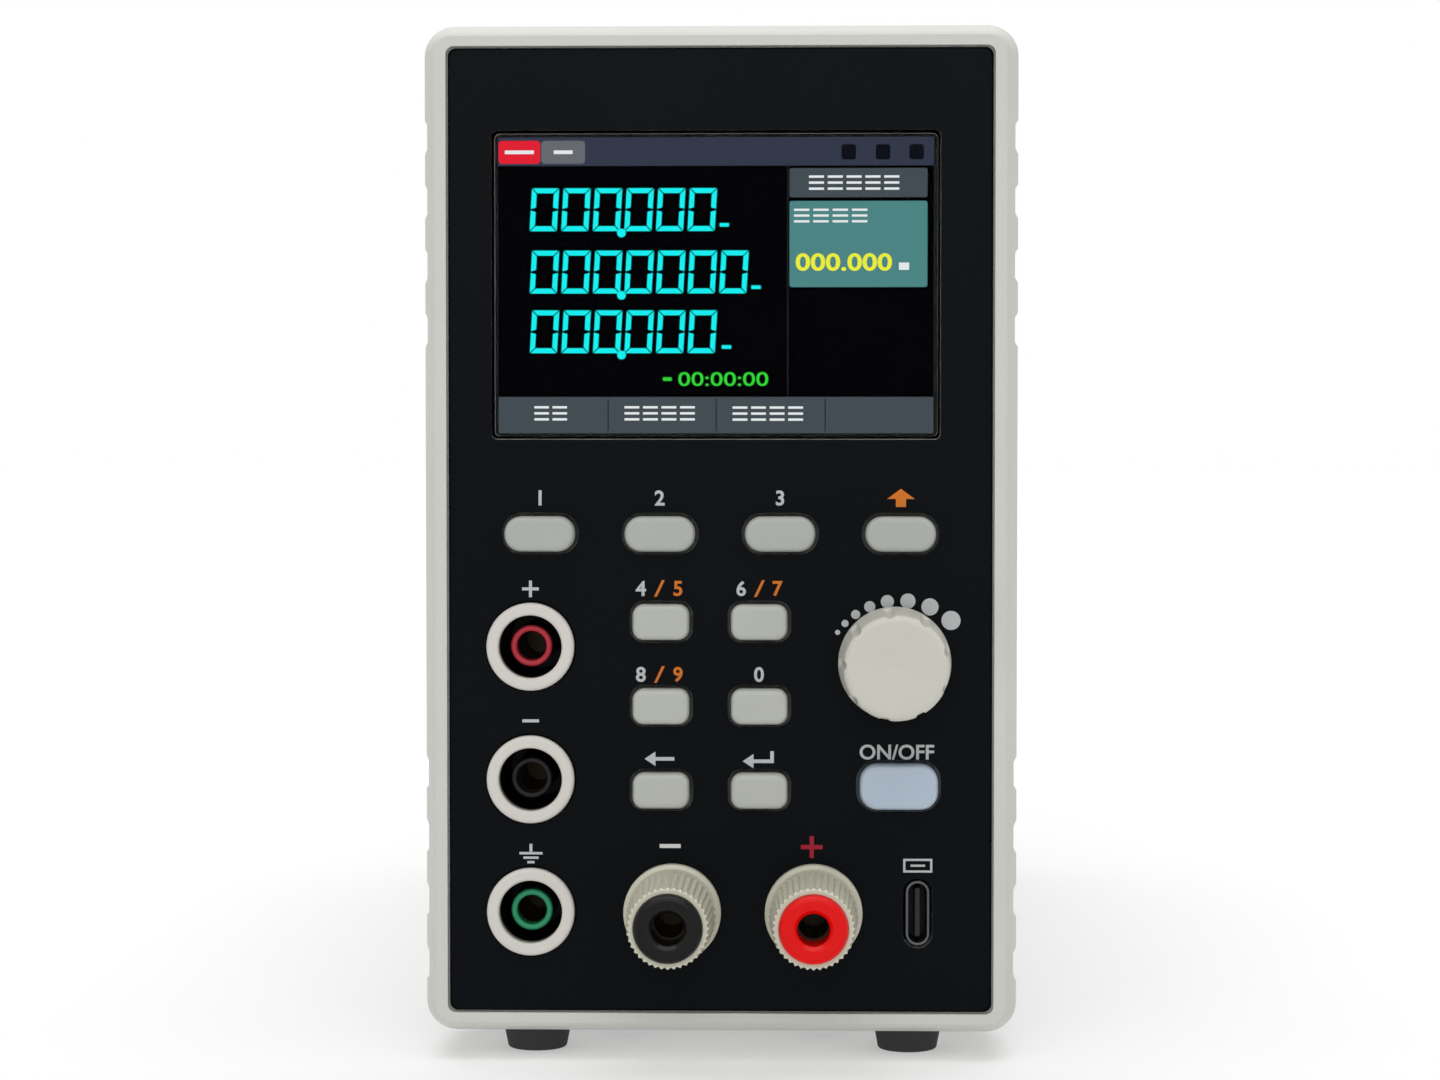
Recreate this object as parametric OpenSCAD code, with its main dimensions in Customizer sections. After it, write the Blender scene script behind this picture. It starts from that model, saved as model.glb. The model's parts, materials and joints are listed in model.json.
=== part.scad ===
// Compact bench DC electronic load. Millimetres, +Z up, front panel towards -Y. The origin lies on
// the bench under the middle of the box. Depths called u run back from the front frame's face, depths
// called v run forward from the rear frame's face, and heights called w stand out from either face.
// Heights of panel parts are measured from the middle of the panel.

/* [Body] */
// Width over the side grips
body_w = 82; // [80:0.5:90]
// Height of the front and rear frames, without the feet
body_h = 139.3; // [138:0.1:150]
// Depth over both frames
body_d = 209; // [200:1:240]
// Height of the feet below the frames
foot_h = 3.5; // [2.2:0.1:6]
// Corner radius of the frames, seen from the front
corner_r = 4.2; // [3.4:0.1:6]
// Width of the visible rim beside the panel
rim_w = 3.4; // [3.2:0.1:3.8]
// Width of the visible rim above and below the panel
rim_h = 3.2; // [3:0.1:3.8]

/* [Frames] */
// Depth of the front frame
front_frame_d = 24; // [22:0.5:30]
// Depth of the rear frame
rear_frame_d = 20; // [19:0.5:26]
// Widening of the flank behind the rim
flare = 1.3; // [0.6:0.1:1.6]
// Depth over which the flank widens
flare_d = 5; // [3:0.5:8]
// Bevel between the rim's face and the flank
rim_bevel = 0.5; // [0.2:0.1:0.8]
// How far the frames stand proud of the sheet metal case
case_step = 2; // [1.8:0.1:2.6]
// How far the frames lap over the case
case_lap = 8; // [6:0.5:9]
// Step inside each frame that stops the case
case_stop = 0.8; // [0.5:0.1:1.2]
// Thickness of the moulded wall behind the panel sheet
panel_wall = 2.6; // [2:0.1:3.2]

/* [Grips] */
// Notches in each group of grips
grip_count = 4; // [2:1:4]
// Spacing of the notches
grip_pitch = 8.85; // [7:0.05:9]
// Length of a notch's flat floor
grip_floor = 3.4; // [2:0.1:4]
// Length of the slope at each end of a notch
grip_slope = 0.65; // [0.3:0.05:1]
// Depth of a notch
grip_depth = 0.5; // [0.2:0.05:0.6]
// Length of a notch along the side of the frame
grip_run = 17; // [8:1:18]
// Height of the upper group's top notch
grip_upper_z = 54.3; // [50:0.1:56]
// Height of the lower group's top notch
grip_lower_z = -33.6; // [-35:0.1:-30]

/* [Panel sheet] */
// Thickness of the black panel sheet
sheet_t = 0.8; // [0.5:0.1:1.2]
// How far the sheet sits below the rim's face
sheet_sink = 0.4; // [0.2:0.1:0.8]
// Gap between the sheet and the rim
sheet_gap = 0.25; // [0.1:0.05:0.4]
// Bevel round the sheet's edge
sheet_bevel = 0.3; // [0.1:0.05:0.4]
// Corner radius of the panel recess
panel_r = 1.1; // [0.8:0.1:2]

/* [Display] */
// Screen's middle across the panel
screen_x = -0.6; // [-1:0.1:1]
// Panel left above the lit area
screen_top = 12.3; // [11:0.1:13]
// Panel left to each side of the lit area
screen_side = 7.6; // [7:0.1:11]
// Share of the panel's height that is lit
screen_share = 0.30625; // [0.28:0.00125:0.31]
// Clear margin of the window round the lit area
window_margin = 0.8; // [0.4:0.1:1.4]
// Border of the display module at its sides
lcd_border_w = 4; // [2.5:0.1:4.2]
// Border of the display module above and below
lcd_border_h = 5; // [2.5:0.1:5.2]
// Thickness of the display module
lcd_t = 3.2; // [2.5:0.1:4]
// Rim left in front of the module's pocket
lcd_lip = 0.7; // [0.5:0.1:1]

/* [Keys] */
// How far the keys stand out of the panel sheet
key_proud = 2; // [1.6:0.1:3]
// Travel of a key
key_travel = 1; // [0.5:0.1:1.2]
// Gap between a key and its opening
key_gap = 0.5; // [0.3:0.05:0.6]
// Rounding of a key's front edge
key_round = 0.7; // [0.3:0.1:1]
// Width of the retaining lip round a key
key_lip = 1; // [0.8:0.1:1.2]
// Thickness of the retaining lip
key_lip_t = 1; // [0.6:0.1:1.2]
// Radius of a key's stem
key_stem_r = 1.6; // [1:0.1:1.8]
// Width of a long key in the top row
long_key_w = 9.65; // [8:0.05:11]
// Height of a long key
long_key_h = 4.8; // [4.7:0.1:6]
// End radius of a long key
long_key_r = 2.3; // [1.2:0.1:2.3]
// First long key's middle in from the panel's side
long_key_inset = 12.85; // [12:0.05:14]
// Height of the row of long keys
long_key_z = -0.3; // [-1:0.1:2]
// Width of a small key
small_key_w = 7.75; // [6:0.05:9]
// Height of a small key
small_key_h = 4.85; // [4:0.05:6]
// Corner radius of a small key
small_key_r = 1.5; // [0.8:0.1:1.9]
// Left column of small keys
small_key_x = -8.1; // [-9:0.1:-7]
// Spacing of the two columns
small_key_dx = 13.5; // [12.5:0.1:14]
// Height of the top row of small keys
small_key_z = -12.4; // [-13:0.1:-11.5]
// Spacing of the rows of small keys
small_key_dz = 11.6; // [10:0.1:12]
// Width of the wide output key
wide_key_w = 10.7; // [9:0.1:13]
// Height of the wide output key
wide_key_h = 6.2; // [5:0.1:7.5]
// Corner radius of the wide output key
wide_key_r = 2.4; // [1:0.1:2.4]
// Wide output key's middle in from the panel's side
wide_key_inset = 13.05; // [12:0.05:15]
// Height of the wide output key on the panel
wide_key_z = -35; // [-37:0.1:-33]

/* [Front board] */
// Face of the front board behind the rim's face
board_u = 12; // [11.5:0.5:13]
// Thickness of the front board
board_t = 1.6; // [1:0.1:2]
// Gap between the front board and the frame
board_margin = 1.2; // [0.6:0.1:2]
// Width of a key switch
switch_w = 6; // [5:0.1:6.5]
// Height of a key switch above the board
switch_h = 4; // [3.4:0.1:4.4]
// Radius of the bosses that carry the board
boss_r = 2.8; // [2.4:0.1:2.8]
// Bosses' middle in from the panel's sides
boss_inset = 3.1; // [2.8:0.1:3.4]
// Top bosses' middle below the panel's top
boss_top = 3.25; // [3:0.05:3.7]
// Height of the middle pair of bosses
boss_middle_z = -7; // [-7.4:0.1:-6.6]
// Bottom bosses' middle above the panel's bottom
boss_low = 3.95; // [3.5:0.05:5]

/* [Knob] */
// Knob's middle in from the panel's side
knob_inset = 13.65; // [12.5:0.05:15]
// Height of the knob on the panel
knob_z = -17.95; // [-19:0.05:-17]
// Radius of the knob's base
knob_base_r = 7.75; // [7.4:0.05:8.5]
// Radius of the knob's front
knob_front_r = 7.15; // [6.6:0.05:7.3]
// Length of the knob
knob_h = 11; // [9:0.1:13]
// Gap between the knob and the panel sheet
knob_lift = 1; // [0.8:0.1:1.4]
// Rounding of the knob's front edge
knob_edge = 1; // [0.4:0.1:1.4]
// Hollow of the knob's front face
knob_dish = 0.35; // [0.1:0.05:0.6]
// Thumb notches round the knob
knob_notches = 9; // [6:1:12]
// Radius of a thumb notch
knob_notch_r = 0.9; // [0.5:0.1:1.2]
// Depth of a thumb notch
knob_notch_d = 0.45; // [0.2:0.05:0.6]
// Smooth skirt below the thumb notches
knob_skirt = 2.8; // [2:0.1:4]
// Angle of the first thumb notch
knob_notch_a = 17.5; // [0:0.5:40]
// Hollow inside the skirt
knob_hollow_r = 6.4; // [6.2:0.1:6.6]
// Wall in front of the shaft
knob_cap_t = 1.5; // [1:0.1:2]

/* [Encoder] */
// Push travel of the knob
push_travel = 0.5; // [0.3:0.05:0.6]
// Width of the encoder body
encoder_w = 12.4; // [11:0.1:13]
// Height of the encoder body
encoder_h = 13; // [12:0.1:14]
// Radius of the encoder's shaft
shaft_r = 3; // [2.5:0.1:3]
// Depth of the flat on the shaft
shaft_flat = 1.5; // [0.8:0.1:1.6]
// Radius of the encoder's threaded bushing
bushing_r = 3.6; // [3.5:0.1:4]
// Length of bushing beyond the nut
bushing_end = 0.8; // [0.4:0.1:1]
// Across-flats size of the bushing nut
bushing_nut_af = 10; // [9:0.5:10]
// Thickness of the bushing nut
bushing_nut_t = 2; // [1.5:0.1:2]
// Radius of the wiper disc on the shaft
wiper_r = 4.4; // [4:0.1:4.6]
// Thickness of the wiper disc
wiper_t = 0.8; // [0.6:0.1:1]
// Radius of the push switch's plunger
plunger_r = 2.4; // [1.8:0.1:2.6]
// Length of the push switch's plunger
plunger_h = 2.2; // [1.8:0.1:2.3]
// Wall of the encoder body in front of the wiper disc
encoder_front_t = 0.9; // [0.7:0.1:1]

/* [Jacks] */
// Jacks' middle in from the panel's side
jack_inset = 11.5; // [11:0.1:12.5]
// Spacing of the jacks as a share of the panel's height
jack_share = 0.1377; // [0.132:0.0001:0.14]
// Outer radius of a jack's shroud
shroud_r = 6.05; // [5.8:0.05:6.4]
// Inner radius of a jack's shroud
shroud_bore_r = 4.35; // [4:0.05:4.6]
// How far the shrouds stand out
shroud_proud = 1; // [0.4:0.1:2]
// Radius of the flange behind the wall
shroud_flange_r = 7.4; // [7:0.1:7.6]
// Thickness of the flange
shroud_flange_t = 2; // [1.5:0.1:3]
// Depth of a jack to its floor
jack_d = 20; // [18:0.5:24]
// Thickness of a jack's floor
jack_floor_t = 2; // [1.5:0.1:3]
// Outer radius of the coloured sleeve
sleeve_r = 2.85; // [2.75:0.05:3.2]
// Sleeve's mouth below the shroud's mouth
sleeve_sink = 2.6; // [1.5:0.1:3.2]
// Length of the sleeve's lip
sleeve_lip = 2.6; // [2.5:0.1:4]
// Radius of the four millimetre plug sockets
socket_r = 2; // [1.9:0.05:2.1]
// Wall of a jack's metal contact
contact_wall = 0.45; // [0.3:0.05:0.5]
// Floor of a jack's metal contact
contact_floor = 1.5; // [1:0.1:2]
// Radius of a contact's solder tail
tail_r = 1.25; // [0.8:0.05:1.4]
// Length of a contact's solder tail
tail_h = 7; // [5:0.5:10]

/* [Binding posts] */
// Middle of the pair of posts across the panel
post_x = 3.15; // [2.5:0.05:4]
// Spacing of the posts
post_pitch = 19.45; // [19:0.05:20]
// Posts' middle above the panel's bottom
post_low = 14; // [13.5:0.05:15.5]
// Radius of a post's base ring
base_r = 6.7; // [6.6:0.1:7.2]
// Thickness of a post's base ring
base_t = 2; // [1.5:0.1:3]
// Chamfer of a post's base ring
base_chamfer = 0.5; // [0.2:0.1:0.8]
// Radius of the base's neck in the wall
neck_r = 4.6; // [4:0.1:4.8]
// Radius of the threaded stud
stud_r = 3; // [2.9:0.1:3.2]
// Radius of the stud's shoulder
shoulder_r = 5; // [4.6:0.1:5.4]
// Thickness of the stud's shoulder
shoulder_t = 0.9; // [0.6:0.1:1.2]
// Depth of the stud's rear end behind the rim's face
stud_d = 26; // [25:0.5:30]
// Radius of the clamp collar
collar_r = 5.5; // [5:0.1:5.8]
// Thickness of the clamp collar
collar_t = 0.8; // [0.6:0.1:1.2]
// Radius over the cap's knurl at the back
cap_back_r = 6.15; // [5.9:0.05:6.4]
// Radius over the cap's knurl at the front
cap_front_r = 5.55; // [5.4:0.05:5.8]
// Length of the knurled cap
cap_h = 12.2; // [11:0.1:14]
// Teeth of the knurl
cap_teeth = 40; // [24:2:48]
// Depth of the knurl
cap_knurl = 0.4; // [0.2:0.05:0.45]
// Chamfer of the cap's ends
cap_chamfer = 0.35; // [0.1:0.05:0.5]
// Length of the cap that holds the coloured core
core_seat = 5; // [4:0.1:5.5]
// Radius of the coloured core
core_r = 4.65; // [4.4:0.05:4.7]
// How far the core stands out of the cap
core_proud = 1.2; // [0.6:0.1:2]
// Rounding of the core's front edge
core_edge = 0.8; // [0.3:0.1:1]
// Radius of the core's hole
core_hole_r = 2.2; // [2.15:0.05:2.4]
// Lead-in at the mouth of the core's hole
core_lead = 0.5; // [0.2:0.1:0.8]
// Across-flats size of the stud nuts
stud_nut_af = 10; // [9:0.5:11]
// Thickness of the stud nuts
stud_nut_t = 3.8; // [3:0.1:4]

/* [Data socket] */
// Data socket's middle in from the panel's side
usb_inset = 10.4; // [9.5:0.1:11]
// Data socket's middle above the panel's bottom
usb_low = 13.85; // [13.4:0.05:15.5]
// Width of the socket's shell
usb_w = 3.26; // [3.2:0.02:3.4]
// Height of the socket's shell
usb_h = 8.94; // [8.8:0.02:9.1]
// Wall of the socket's shell
usb_wall = 0.33; // [0.2:0.01:0.4]
// Gap round the shell in the panel
usb_gap = 0.39; // [0.3:0.01:0.6]
// Depth of the shell's mouth behind the rim's face
usb_u = 1; // [0.6:0.1:1.6]
// Thickness of the tongue
usb_tongue_w = 0.7; // [0.6:0.05:0.8]
// Height of the tongue
usb_tongue_h = 6.7; // [6:0.1:7]
// Tongue's tip behind the shell's mouth
usb_tongue_sink = 1; // [0.5:0.1:1.5]
// Free length of the tongue
usb_tongue_d = 5; // [4:0.1:6]

/* [Feet] */
// Feet's middle in from the panel's sides
foot_inset = 11.5; // [8:0.1:17]
// Radius of a foot at the top
foot_r = 4.8; // [4.4:0.1:6]
// Radius of a foot at the bottom
foot_tip_r = 4.2; // [3.5:0.1:4.4]
// Foot's middle behind the frame's face
foot_u = 11.6; // [10:0.1:11.8]
// Radius of the stem that presses into the frame
foot_stem_r = 1.9; // [1.5:0.1:2.5]

/* [Case] */
// Thickness of the case sheet metal
metal_t = 1; // [0.8:0.1:1.2]
// Bend radius at the case's outer edges
case_r = 1.9; // [1.4:0.1:3]
// Height of the tray's side flanges
tray_flange_h = 9; // [8:0.5:12]
// Width of a vent slot
vent_w = 2.4; // [1.5:0.1:3]
// Height of a vent slot
vent_h = 20; // [10:0.5:24]
// Spacing of the vent slots
vent_pitch = 5.2; // [4.5:0.1:6]
// Vent slots in a row
vent_count = 12; // [4:1:14]
// First vent slot behind the front frame's face
vent_u = 40; // [34:1:50]
// Vent rows' height above and below the middle
vent_z = 24; // [16:1:30]
// Radius of a case screw's shank
screw_r = 1.5; // [1.2:0.1:1.6]
// Radius of a case screw's head
screw_head_r = 2.75; // [2.4:0.05:2.9]
// Height of a case screw's head
screw_head_h = 1.7; // [1.2:0.1:1.8]
// Length of a case screw's shank
screw_len = 6; // [5:0.5:7]
// Side screws' height above the case's underside
side_screw_z = 5.5; // [5:0.1:7]
// Side screws' distance from the middle of the case
side_screw_y = 48; // [30:1:60]
// Screws under the frames, to either side
under_screw_x = 14; // [8:0.5:17]

/* [Rear panel] */
// How far the rear panel sits inside the rear frame
rear_sink = 6; // [5.5:0.1:7]
// Thickness of the rear panel
rear_t = 1.2; // [1:0.1:1.6]
// Width of the ledge that the rear panel seats on
ledge_w = 4.6; // [4.4:0.1:5]
// Thickness of that ledge
ledge_t = 3; // [2:0.1:3.5]

/* [Fan] */
// Panel height left above and below the fan
fan_room_h = 72.9; // [72.9:0.1:77]
// Panel width left beside the fan
fan_room_w = 15.2; // [15.2:0.1:19]
// Depth of the fan
fan_d = 20; // [18:0.5:25]
// Fan's top edge below the panel's top
fan_top = 8.45; // [7:0.05:8.5]
// Fan's mounting holes in from its sides
fan_hole_inset = 5; // [5:0.1:6]
// Radius of the fan's mounting holes
fan_hole_r = 2.2; // [2:0.1:2.4]
// Corner radius of the fan
fan_corner_r = 4; // [3:0.5:4.5]
// Wall of the fan's duct where it is thinnest
fan_wall = 1.4; // [1.2:0.1:2.6]
// Gap between the blade tips and the duct
fan_tip_gap = 0.8; // [0.5:0.1:1.5]
// Radius of the rotor's hub
fan_hub_r = 13; // [11:0.5:15]
// Wall of the rotor's hub
fan_hub_wall = 1.4; // [1:0.1:2]
// Blades of the rotor
fan_blades = 7; // [5:1:9]
// Thickness of a blade
fan_blade_t = 1.2; // [0.8:0.1:1.6]
// Twist of a blade from back to front
fan_twist = 38; // [20:1:45]
// Radius of the rotor's shaft
fan_shaft_r = 1.5; // [1:0.1:2]
// Wall of the fan's bearing tube
fan_bearing_wall = 2; // [1.5:0.1:3]
// Thickness of the motor base and its struts
fan_base_t = 2.4; // [2:0.1:3]
// Gap between the motor base and the rotor
fan_gap = 2; // [1:0.1:3]
// Width of a strut
fan_strut_w = 3; // [2:0.2:4]
// Struts that carry the motor base
fan_struts = 4; // [3:1:5]
// Radius of the guard's wire
guard_wire_r = 0.8; // [0.6:0.05:1]
// Rings of the guard
guard_rings = 4; // [3:1:5]
// Radius of the guard's innermost ring
guard_ring_r = 8; // [6:0.5:9]
// Radius of a fan screw's head
fan_screw_head_r = 3.6; // [3.4:0.1:4]
// Height of a fan screw's head
fan_screw_head_h = 2; // [1.6:0.1:2.4]
// Radius of a fan screw's shank
fan_screw_r = 1.9; // [1.6:0.1:1.95]

/* [Mains inlet] */
// Inlet block's middle above the panel's bottom
inlet_low = 30.45; // [29.5:0.05:31.4]
// Width of the inlet block behind the panel
inlet_w = 27; // [26.5:0.1:28]
// Height of the inlet block behind the panel
inlet_h = 47; // [46.5:0.1:48]
// Depth of the inlet block behind the panel
inlet_d = 30; // [30:0.5:34]
// Overlap of the block's flange on the panel
inlet_lip = 1.6; // [1.2:0.1:2]
// Thickness of the block's flange
inlet_flange_t = 2; // [1.6:0.1:2.4]
// Width of the plug recess
plug_w = 24.2; // [24:0.1:24.6]
// Height of the plug recess
plug_h = 16.6; // [16.4:0.1:17]
// Depth of the plug recess
plug_d = 16.5; // [16:0.1:18]
// Cut corners of the plug recess
plug_corner = 5; // [4:0.1:6]
// Height of the plug recess below the block's middle
plug_z = -12.6; // [-13:0.1:-12.4]
// Width of a contact pin
pin_w = 2; // [1.8:0.1:2.2]
// Height of a contact pin
pin_h = 4; // [3.6:0.1:4.2]
// Spacing of the two line pins
pin_pitch = 14; // [13.5:0.1:14.5]
// Pins' offset from the recess's middle
pin_z = 2; // [1.8:0.1:2.2]
// Depth of the pins' tips below the mouth
pin_sink = 4.8; // [4.6:0.1:6]
// Length of the solder tabs behind the block
pin_tab = 6; // [4:0.5:10]
// Width of the fuse drawer
drawer_w = 20.6; // [18:0.1:22]
// Height of the fuse drawer
drawer_h = 7.4; // [7:0.1:7.6]
// Depth of the fuse drawer
drawer_d = 24; // [23:0.5:26]
// Fuse drawer's height above the block's middle
drawer_z = 0.9; // [0.6:0.1:1.2]
// How far the drawer's face stands out of the flange
drawer_proud = 0.4; // [0.2:0.1:0.8]
// Width of the fuse's trough in the drawer
trough_w = 5.6; // [5.2:0.1:6]
// Width of the rocker
rocker_w = 18.4; // [16:0.1:20]
// Height of the rocker
rocker_h = 12.6; // [11:0.1:13]
// Height of the rocker above the block's middle
rocker_z = 14; // [13.6:0.1:14.4]
// Rise of the rocker's ends above its pivot
rocker_rise = 2.4; // [2:0.1:3]
// Rise of the rocker's middle above its pivot
rocker_saddle = 1.3; // [1.2:0.1:2]
// Depth of the rocker below its pivot
rocker_keel = 5; // [4:0.1:6]
// Tilt of the rocker to either side
rocker_tilt = 9; // [6:0.5:11]
// Radius of the rocker's pivot pins
rocker_pin_r = 1; // [0.8:0.1:1.1]
// Length of the rocker's pivot pins
rocker_pin_h = 1.4; // [1:0.1:2]
// Pivot's depth behind the flange's face
rocker_sink = 2.6; // [2.4:0.1:3.5]
// Gap beside the rocker's ends
rocker_gap = 0.5; // [0.4:0.05:0.7]
// Depth of the rocker's well
rocker_well = 11; // [10:0.5:14]

/* [Power stage] */
// Panel width left beside the heatsink
sink_side = 6.6; // [6.6:0.1:9]
// Fan's height beyond the heatsink's
sink_drop = 4; // [2:0.5:10]
// Length of the heatsink
sink_d = 82; // [70:1:90]
// Thickness of the heatsink's base
sink_base_t = 6; // [4:0.5:8]
// Fins of the heatsink
sink_fins = 11; // [7:1:13]
// Thickness of a fin
sink_fin_t = 1.8; // [1.2:0.1:2.4]
// Gap between the heatsink and the fan
sink_gap = 3; // [2:0.5:6]
// Thickness of the heatsink's brackets
bracket_t = 1.5; // [1:0.1:2]
// Width of the brackets' flanges
bracket_flange = 8; // [6:0.5:10]
// Gap between the power board and the heatsink
stage_gap = 13; // [11:0.5:14]
// Thickness of the power board
stage_t = 1.6; // [1.2:0.1:2]
// Length of the power board in front of the heatsink
stage_front = 38; // [34:1:44]
// Length of heatsink behind the power board
stage_back = 8; // [7:0.5:12]
// Width of a power transistor
fet_w = 15.8; // [14:0.1:16]
// Length of a power transistor
fet_l = 20.8; // [18:0.1:21]
// Thickness of a power transistor
fet_t = 5; // [4:0.1:5.4]
// Spacing of the power transistors along the heatsink
fet_pitch = 38; // [34:1:42]
// Distance of the transistors from the middle
fet_x = 11.5; // [9:0.5:13]
// Width of a transistor's leg
leg_w = 1.2; // [0.8:0.1:1.4]
// Thickness of a transistor's leg
leg_t = 0.6; // [0.4:0.1:0.8]
// Spacing of a transistor's legs
leg_pitch = 5.4; // [5:0.1:5.6]
// Reach of a transistor's legs before they bend down
leg_reach = 3; // [2:0.2:4]
// Radius of the reservoir capacitors
cap_can_r = 8; // [6:0.5:9]
// Height of the reservoir capacitors
cap_can_h = 25; // [16:1:30]
// Spacing of the reservoir capacitors
cap_can_pitch = 20; // [19:1:24]

/* [Transformer] */
// Width of the transformer's core
core_w = 44; // [36:1:46]
// Height of the transformer's core
core_h = 36; // [30:1:38]
// Thickness of the core's stack
core_stack = 16; // [12:1:20]
// Length over the transformer's winding
coil_l = 34; // [28:1:40]
// Width of the transformer's winding
coil_w = 28; // [24:1:30]
// Height of the transformer's winding
coil_h = 24; // [18:1:26]
// Rounding of the winding
coil_r = 4; // [2:0.5:6]
// Length of the core's mounting feet
core_foot = 5; // [4:0.5:6]
// Thickness of the core's mounting feet
core_foot_t = 1.6; // [1:0.1:2]

/* [Power leads] */
// Radius of a power lead
lead_r = 1.6; // [1.2:0.1:2]
// Bend radius of a power lead
lead_bend = 8; // [6:0.5:9]
// Gap between the front board and a lug's first nut
lug_gap = 1; // [0.5:0.1:2]
// Radius of a lead's ring lug
lug_r = 5; // [4.6:0.1:5.5]
// Thickness of a ring lug
lug_t = 1; // [0.8:0.1:1.2]
// Length of a lug's tongue from the stud
lug_h = 9; // [8:0.5:10]
// Length of a lug's barrel
barrel_h = 5; // [4:0.5:6]

/* [Fits] */
// Clearance of screws and pressed-in parts
loose_fit = 0.15; // [0.1:0.05:0.2]
// Radial clearance of a part that turns or slides
slip_fit = 0.05; // [0.03:0.01:0.08]
// Gap where two parts meet end to end
seat_gap = 0.2; // [0.1:0.05:0.25]

/* [Hidden] */

$fn = 64;
// Facets of the rounded corners inside hulls
hull_fn = 32;
// Thin slab that a hull spans
slab = 0.01;
// Overshoot of a cut past a face
over = 1;
// Points along a rounded edge
edge_steps = 6;

// Middle of the panel, and the place of the front frame's face
mid_z = foot_h + body_h / 2;
post_w0 = -sheet_sink + base_t;
collar_w = post_w0 + shoulder_t;
cap_w = collar_w + collar_t;
cap_front_w = cap_w + cap_h;
core_front_w = cap_front_w + core_proud;
core_back_w = cap_front_w - core_seat;
front_y = -(body_d - core_front_w) / 2;

// Panel stack, going back from the rim's face
panel_w = body_w - 2 * rim_w;
panel_h = body_h - 2 * rim_h;
wall_u = sheet_sink + sheet_t;
wall_back_u = wall_u + panel_wall;
screen_w = panel_w - 2 * screen_side;
screen_h = panel_h * screen_share;
screen_z = panel_h / 2 - screen_top - screen_h / 2;
lcd_u = wall_u + lcd_lip + slip_fit;
lcd_w = screen_w + 2 * lcd_border_w;
lcd_h = screen_h + 2 * lcd_border_h;
window_w = screen_w + 2 * window_margin;
window_h = screen_h + 2 * window_margin;
window_r = 0.8;
lcd_r = 1;
lcd_tail_w = 18;
lcd_tail_t = 0.3;
lcd_tail_z = 3;

// Sheet metal case between the frames
foot_x = panel_w / 2 - foot_inset;
case_w = body_w - 2 * case_step;
case_h = body_h - 2 * case_step;
case_z = foot_h + case_step;
case_u = front_frame_d - case_lap;
case_back_u = body_d - rear_frame_d + case_lap;
tray_w = case_w - 2 * metal_t - 2 * loose_fit;
tray_top_z = case_z + metal_t;
side_screw_us = [body_d / 2 - side_screw_y, body_d / 2 + side_screw_y];

// Keys: place across, height, and the width, height and corner radius of the face
long_key_pitch = (panel_w - 2 * long_key_inset) / 3;
wide_key_x = panel_w / 2 - wide_key_inset;
long_key = [long_key_w, long_key_h, long_key_r];
small_key = [small_key_w, small_key_h, small_key_r];
wide_key = [wide_key_w, wide_key_h, wide_key_r];
function long_key_at(i) = [(i - 1.5) * long_key_pitch, long_key_z, long_key];
function small_key_at(column, row) = [
    small_key_x + column * small_key_dx,
    small_key_z - row * small_key_dz,
    small_key
];
wide_key_at = [wide_key_x, wide_key_z, wide_key];
KEYS = [
    for (i = [0:3]) long_key_at(i),
    for (row = [0:2], column = [0:1]) small_key_at(column, row),
    wide_key_at
];
key_front_w = key_proud - sheet_sink;
key_lip_u = wall_back_u + seat_gap;
switch_u = board_u - switch_h;
switch_well = key_travel + 2 * seat_gap + loose_fit + key_lip_t;
stem_end_u = switch_u + seat_gap;

boss_x = panel_w / 2 - boss_inset;
BOSSES = [
    for (side = [-1, 1], z = [panel_h / 2 - boss_top, boss_middle_z, boss_low - panel_h / 2])
        [side * boss_x, z]
];
board_w = case_w - 2 * case_stop - 2 * board_margin;
board_h = case_h - 2 * case_stop - 2 * board_margin;

// Encoder stack
KNOB = [panel_w / 2 - knob_inset, knob_z];
bushing_hole_r = bushing_r + key_gap;
bushing_w = bushing_nut_t - sheet_sink + bushing_end;
encoder_u = wall_back_u + panel_wall / 2;
wiper_u = encoder_u + encoder_front_t + seat_gap;
shaft_end_u = wiper_u + wiper_t;
plunger_u = shaft_end_u + slip_fit;
plunger_guide_u = plunger_u + push_travel + seat_gap;
plunger_well_u = plunger_u + plunger_h + push_travel + seat_gap;
knob_w = knob_lift - sheet_sink;
knob_front_w = knob_w + knob_h;
knob_hollow_w = bushing_w + push_travel + 2 * seat_gap;
shaft_front_w = knob_front_w - knob_cap_t;

post_z = post_low - panel_h / 2;
jack_x = jack_inset - panel_w / 2;
JACKS = [for (i = [2:-1:0]) [jack_x, post_z + i * jack_share * panel_h]];
shroud_front_w = shroud_proud - sheet_sink;
shroud_round = 0.5;
sleeve_u = sleeve_sink - shroud_front_w;
contact_u = sleeve_u + sleeve_lip + slip_fit;
contact_r = socket_r + contact_wall;
sleeve_lip_r = socket_r + slip_fit;

POSTS = [for (side = [-1, 1]) [post_x + side * post_pitch / 2, post_z]];
stud_front_w = core_back_w - seat_gap;
socket_end_u = wall_u - slip_fit;
stud_bore_r = stud_r + slip_fit;
lug_u = board_u + board_t + stud_nut_t + lug_gap;
USB = [panel_w / 2 - usb_inset, usb_low - panel_h / 2];

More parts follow.
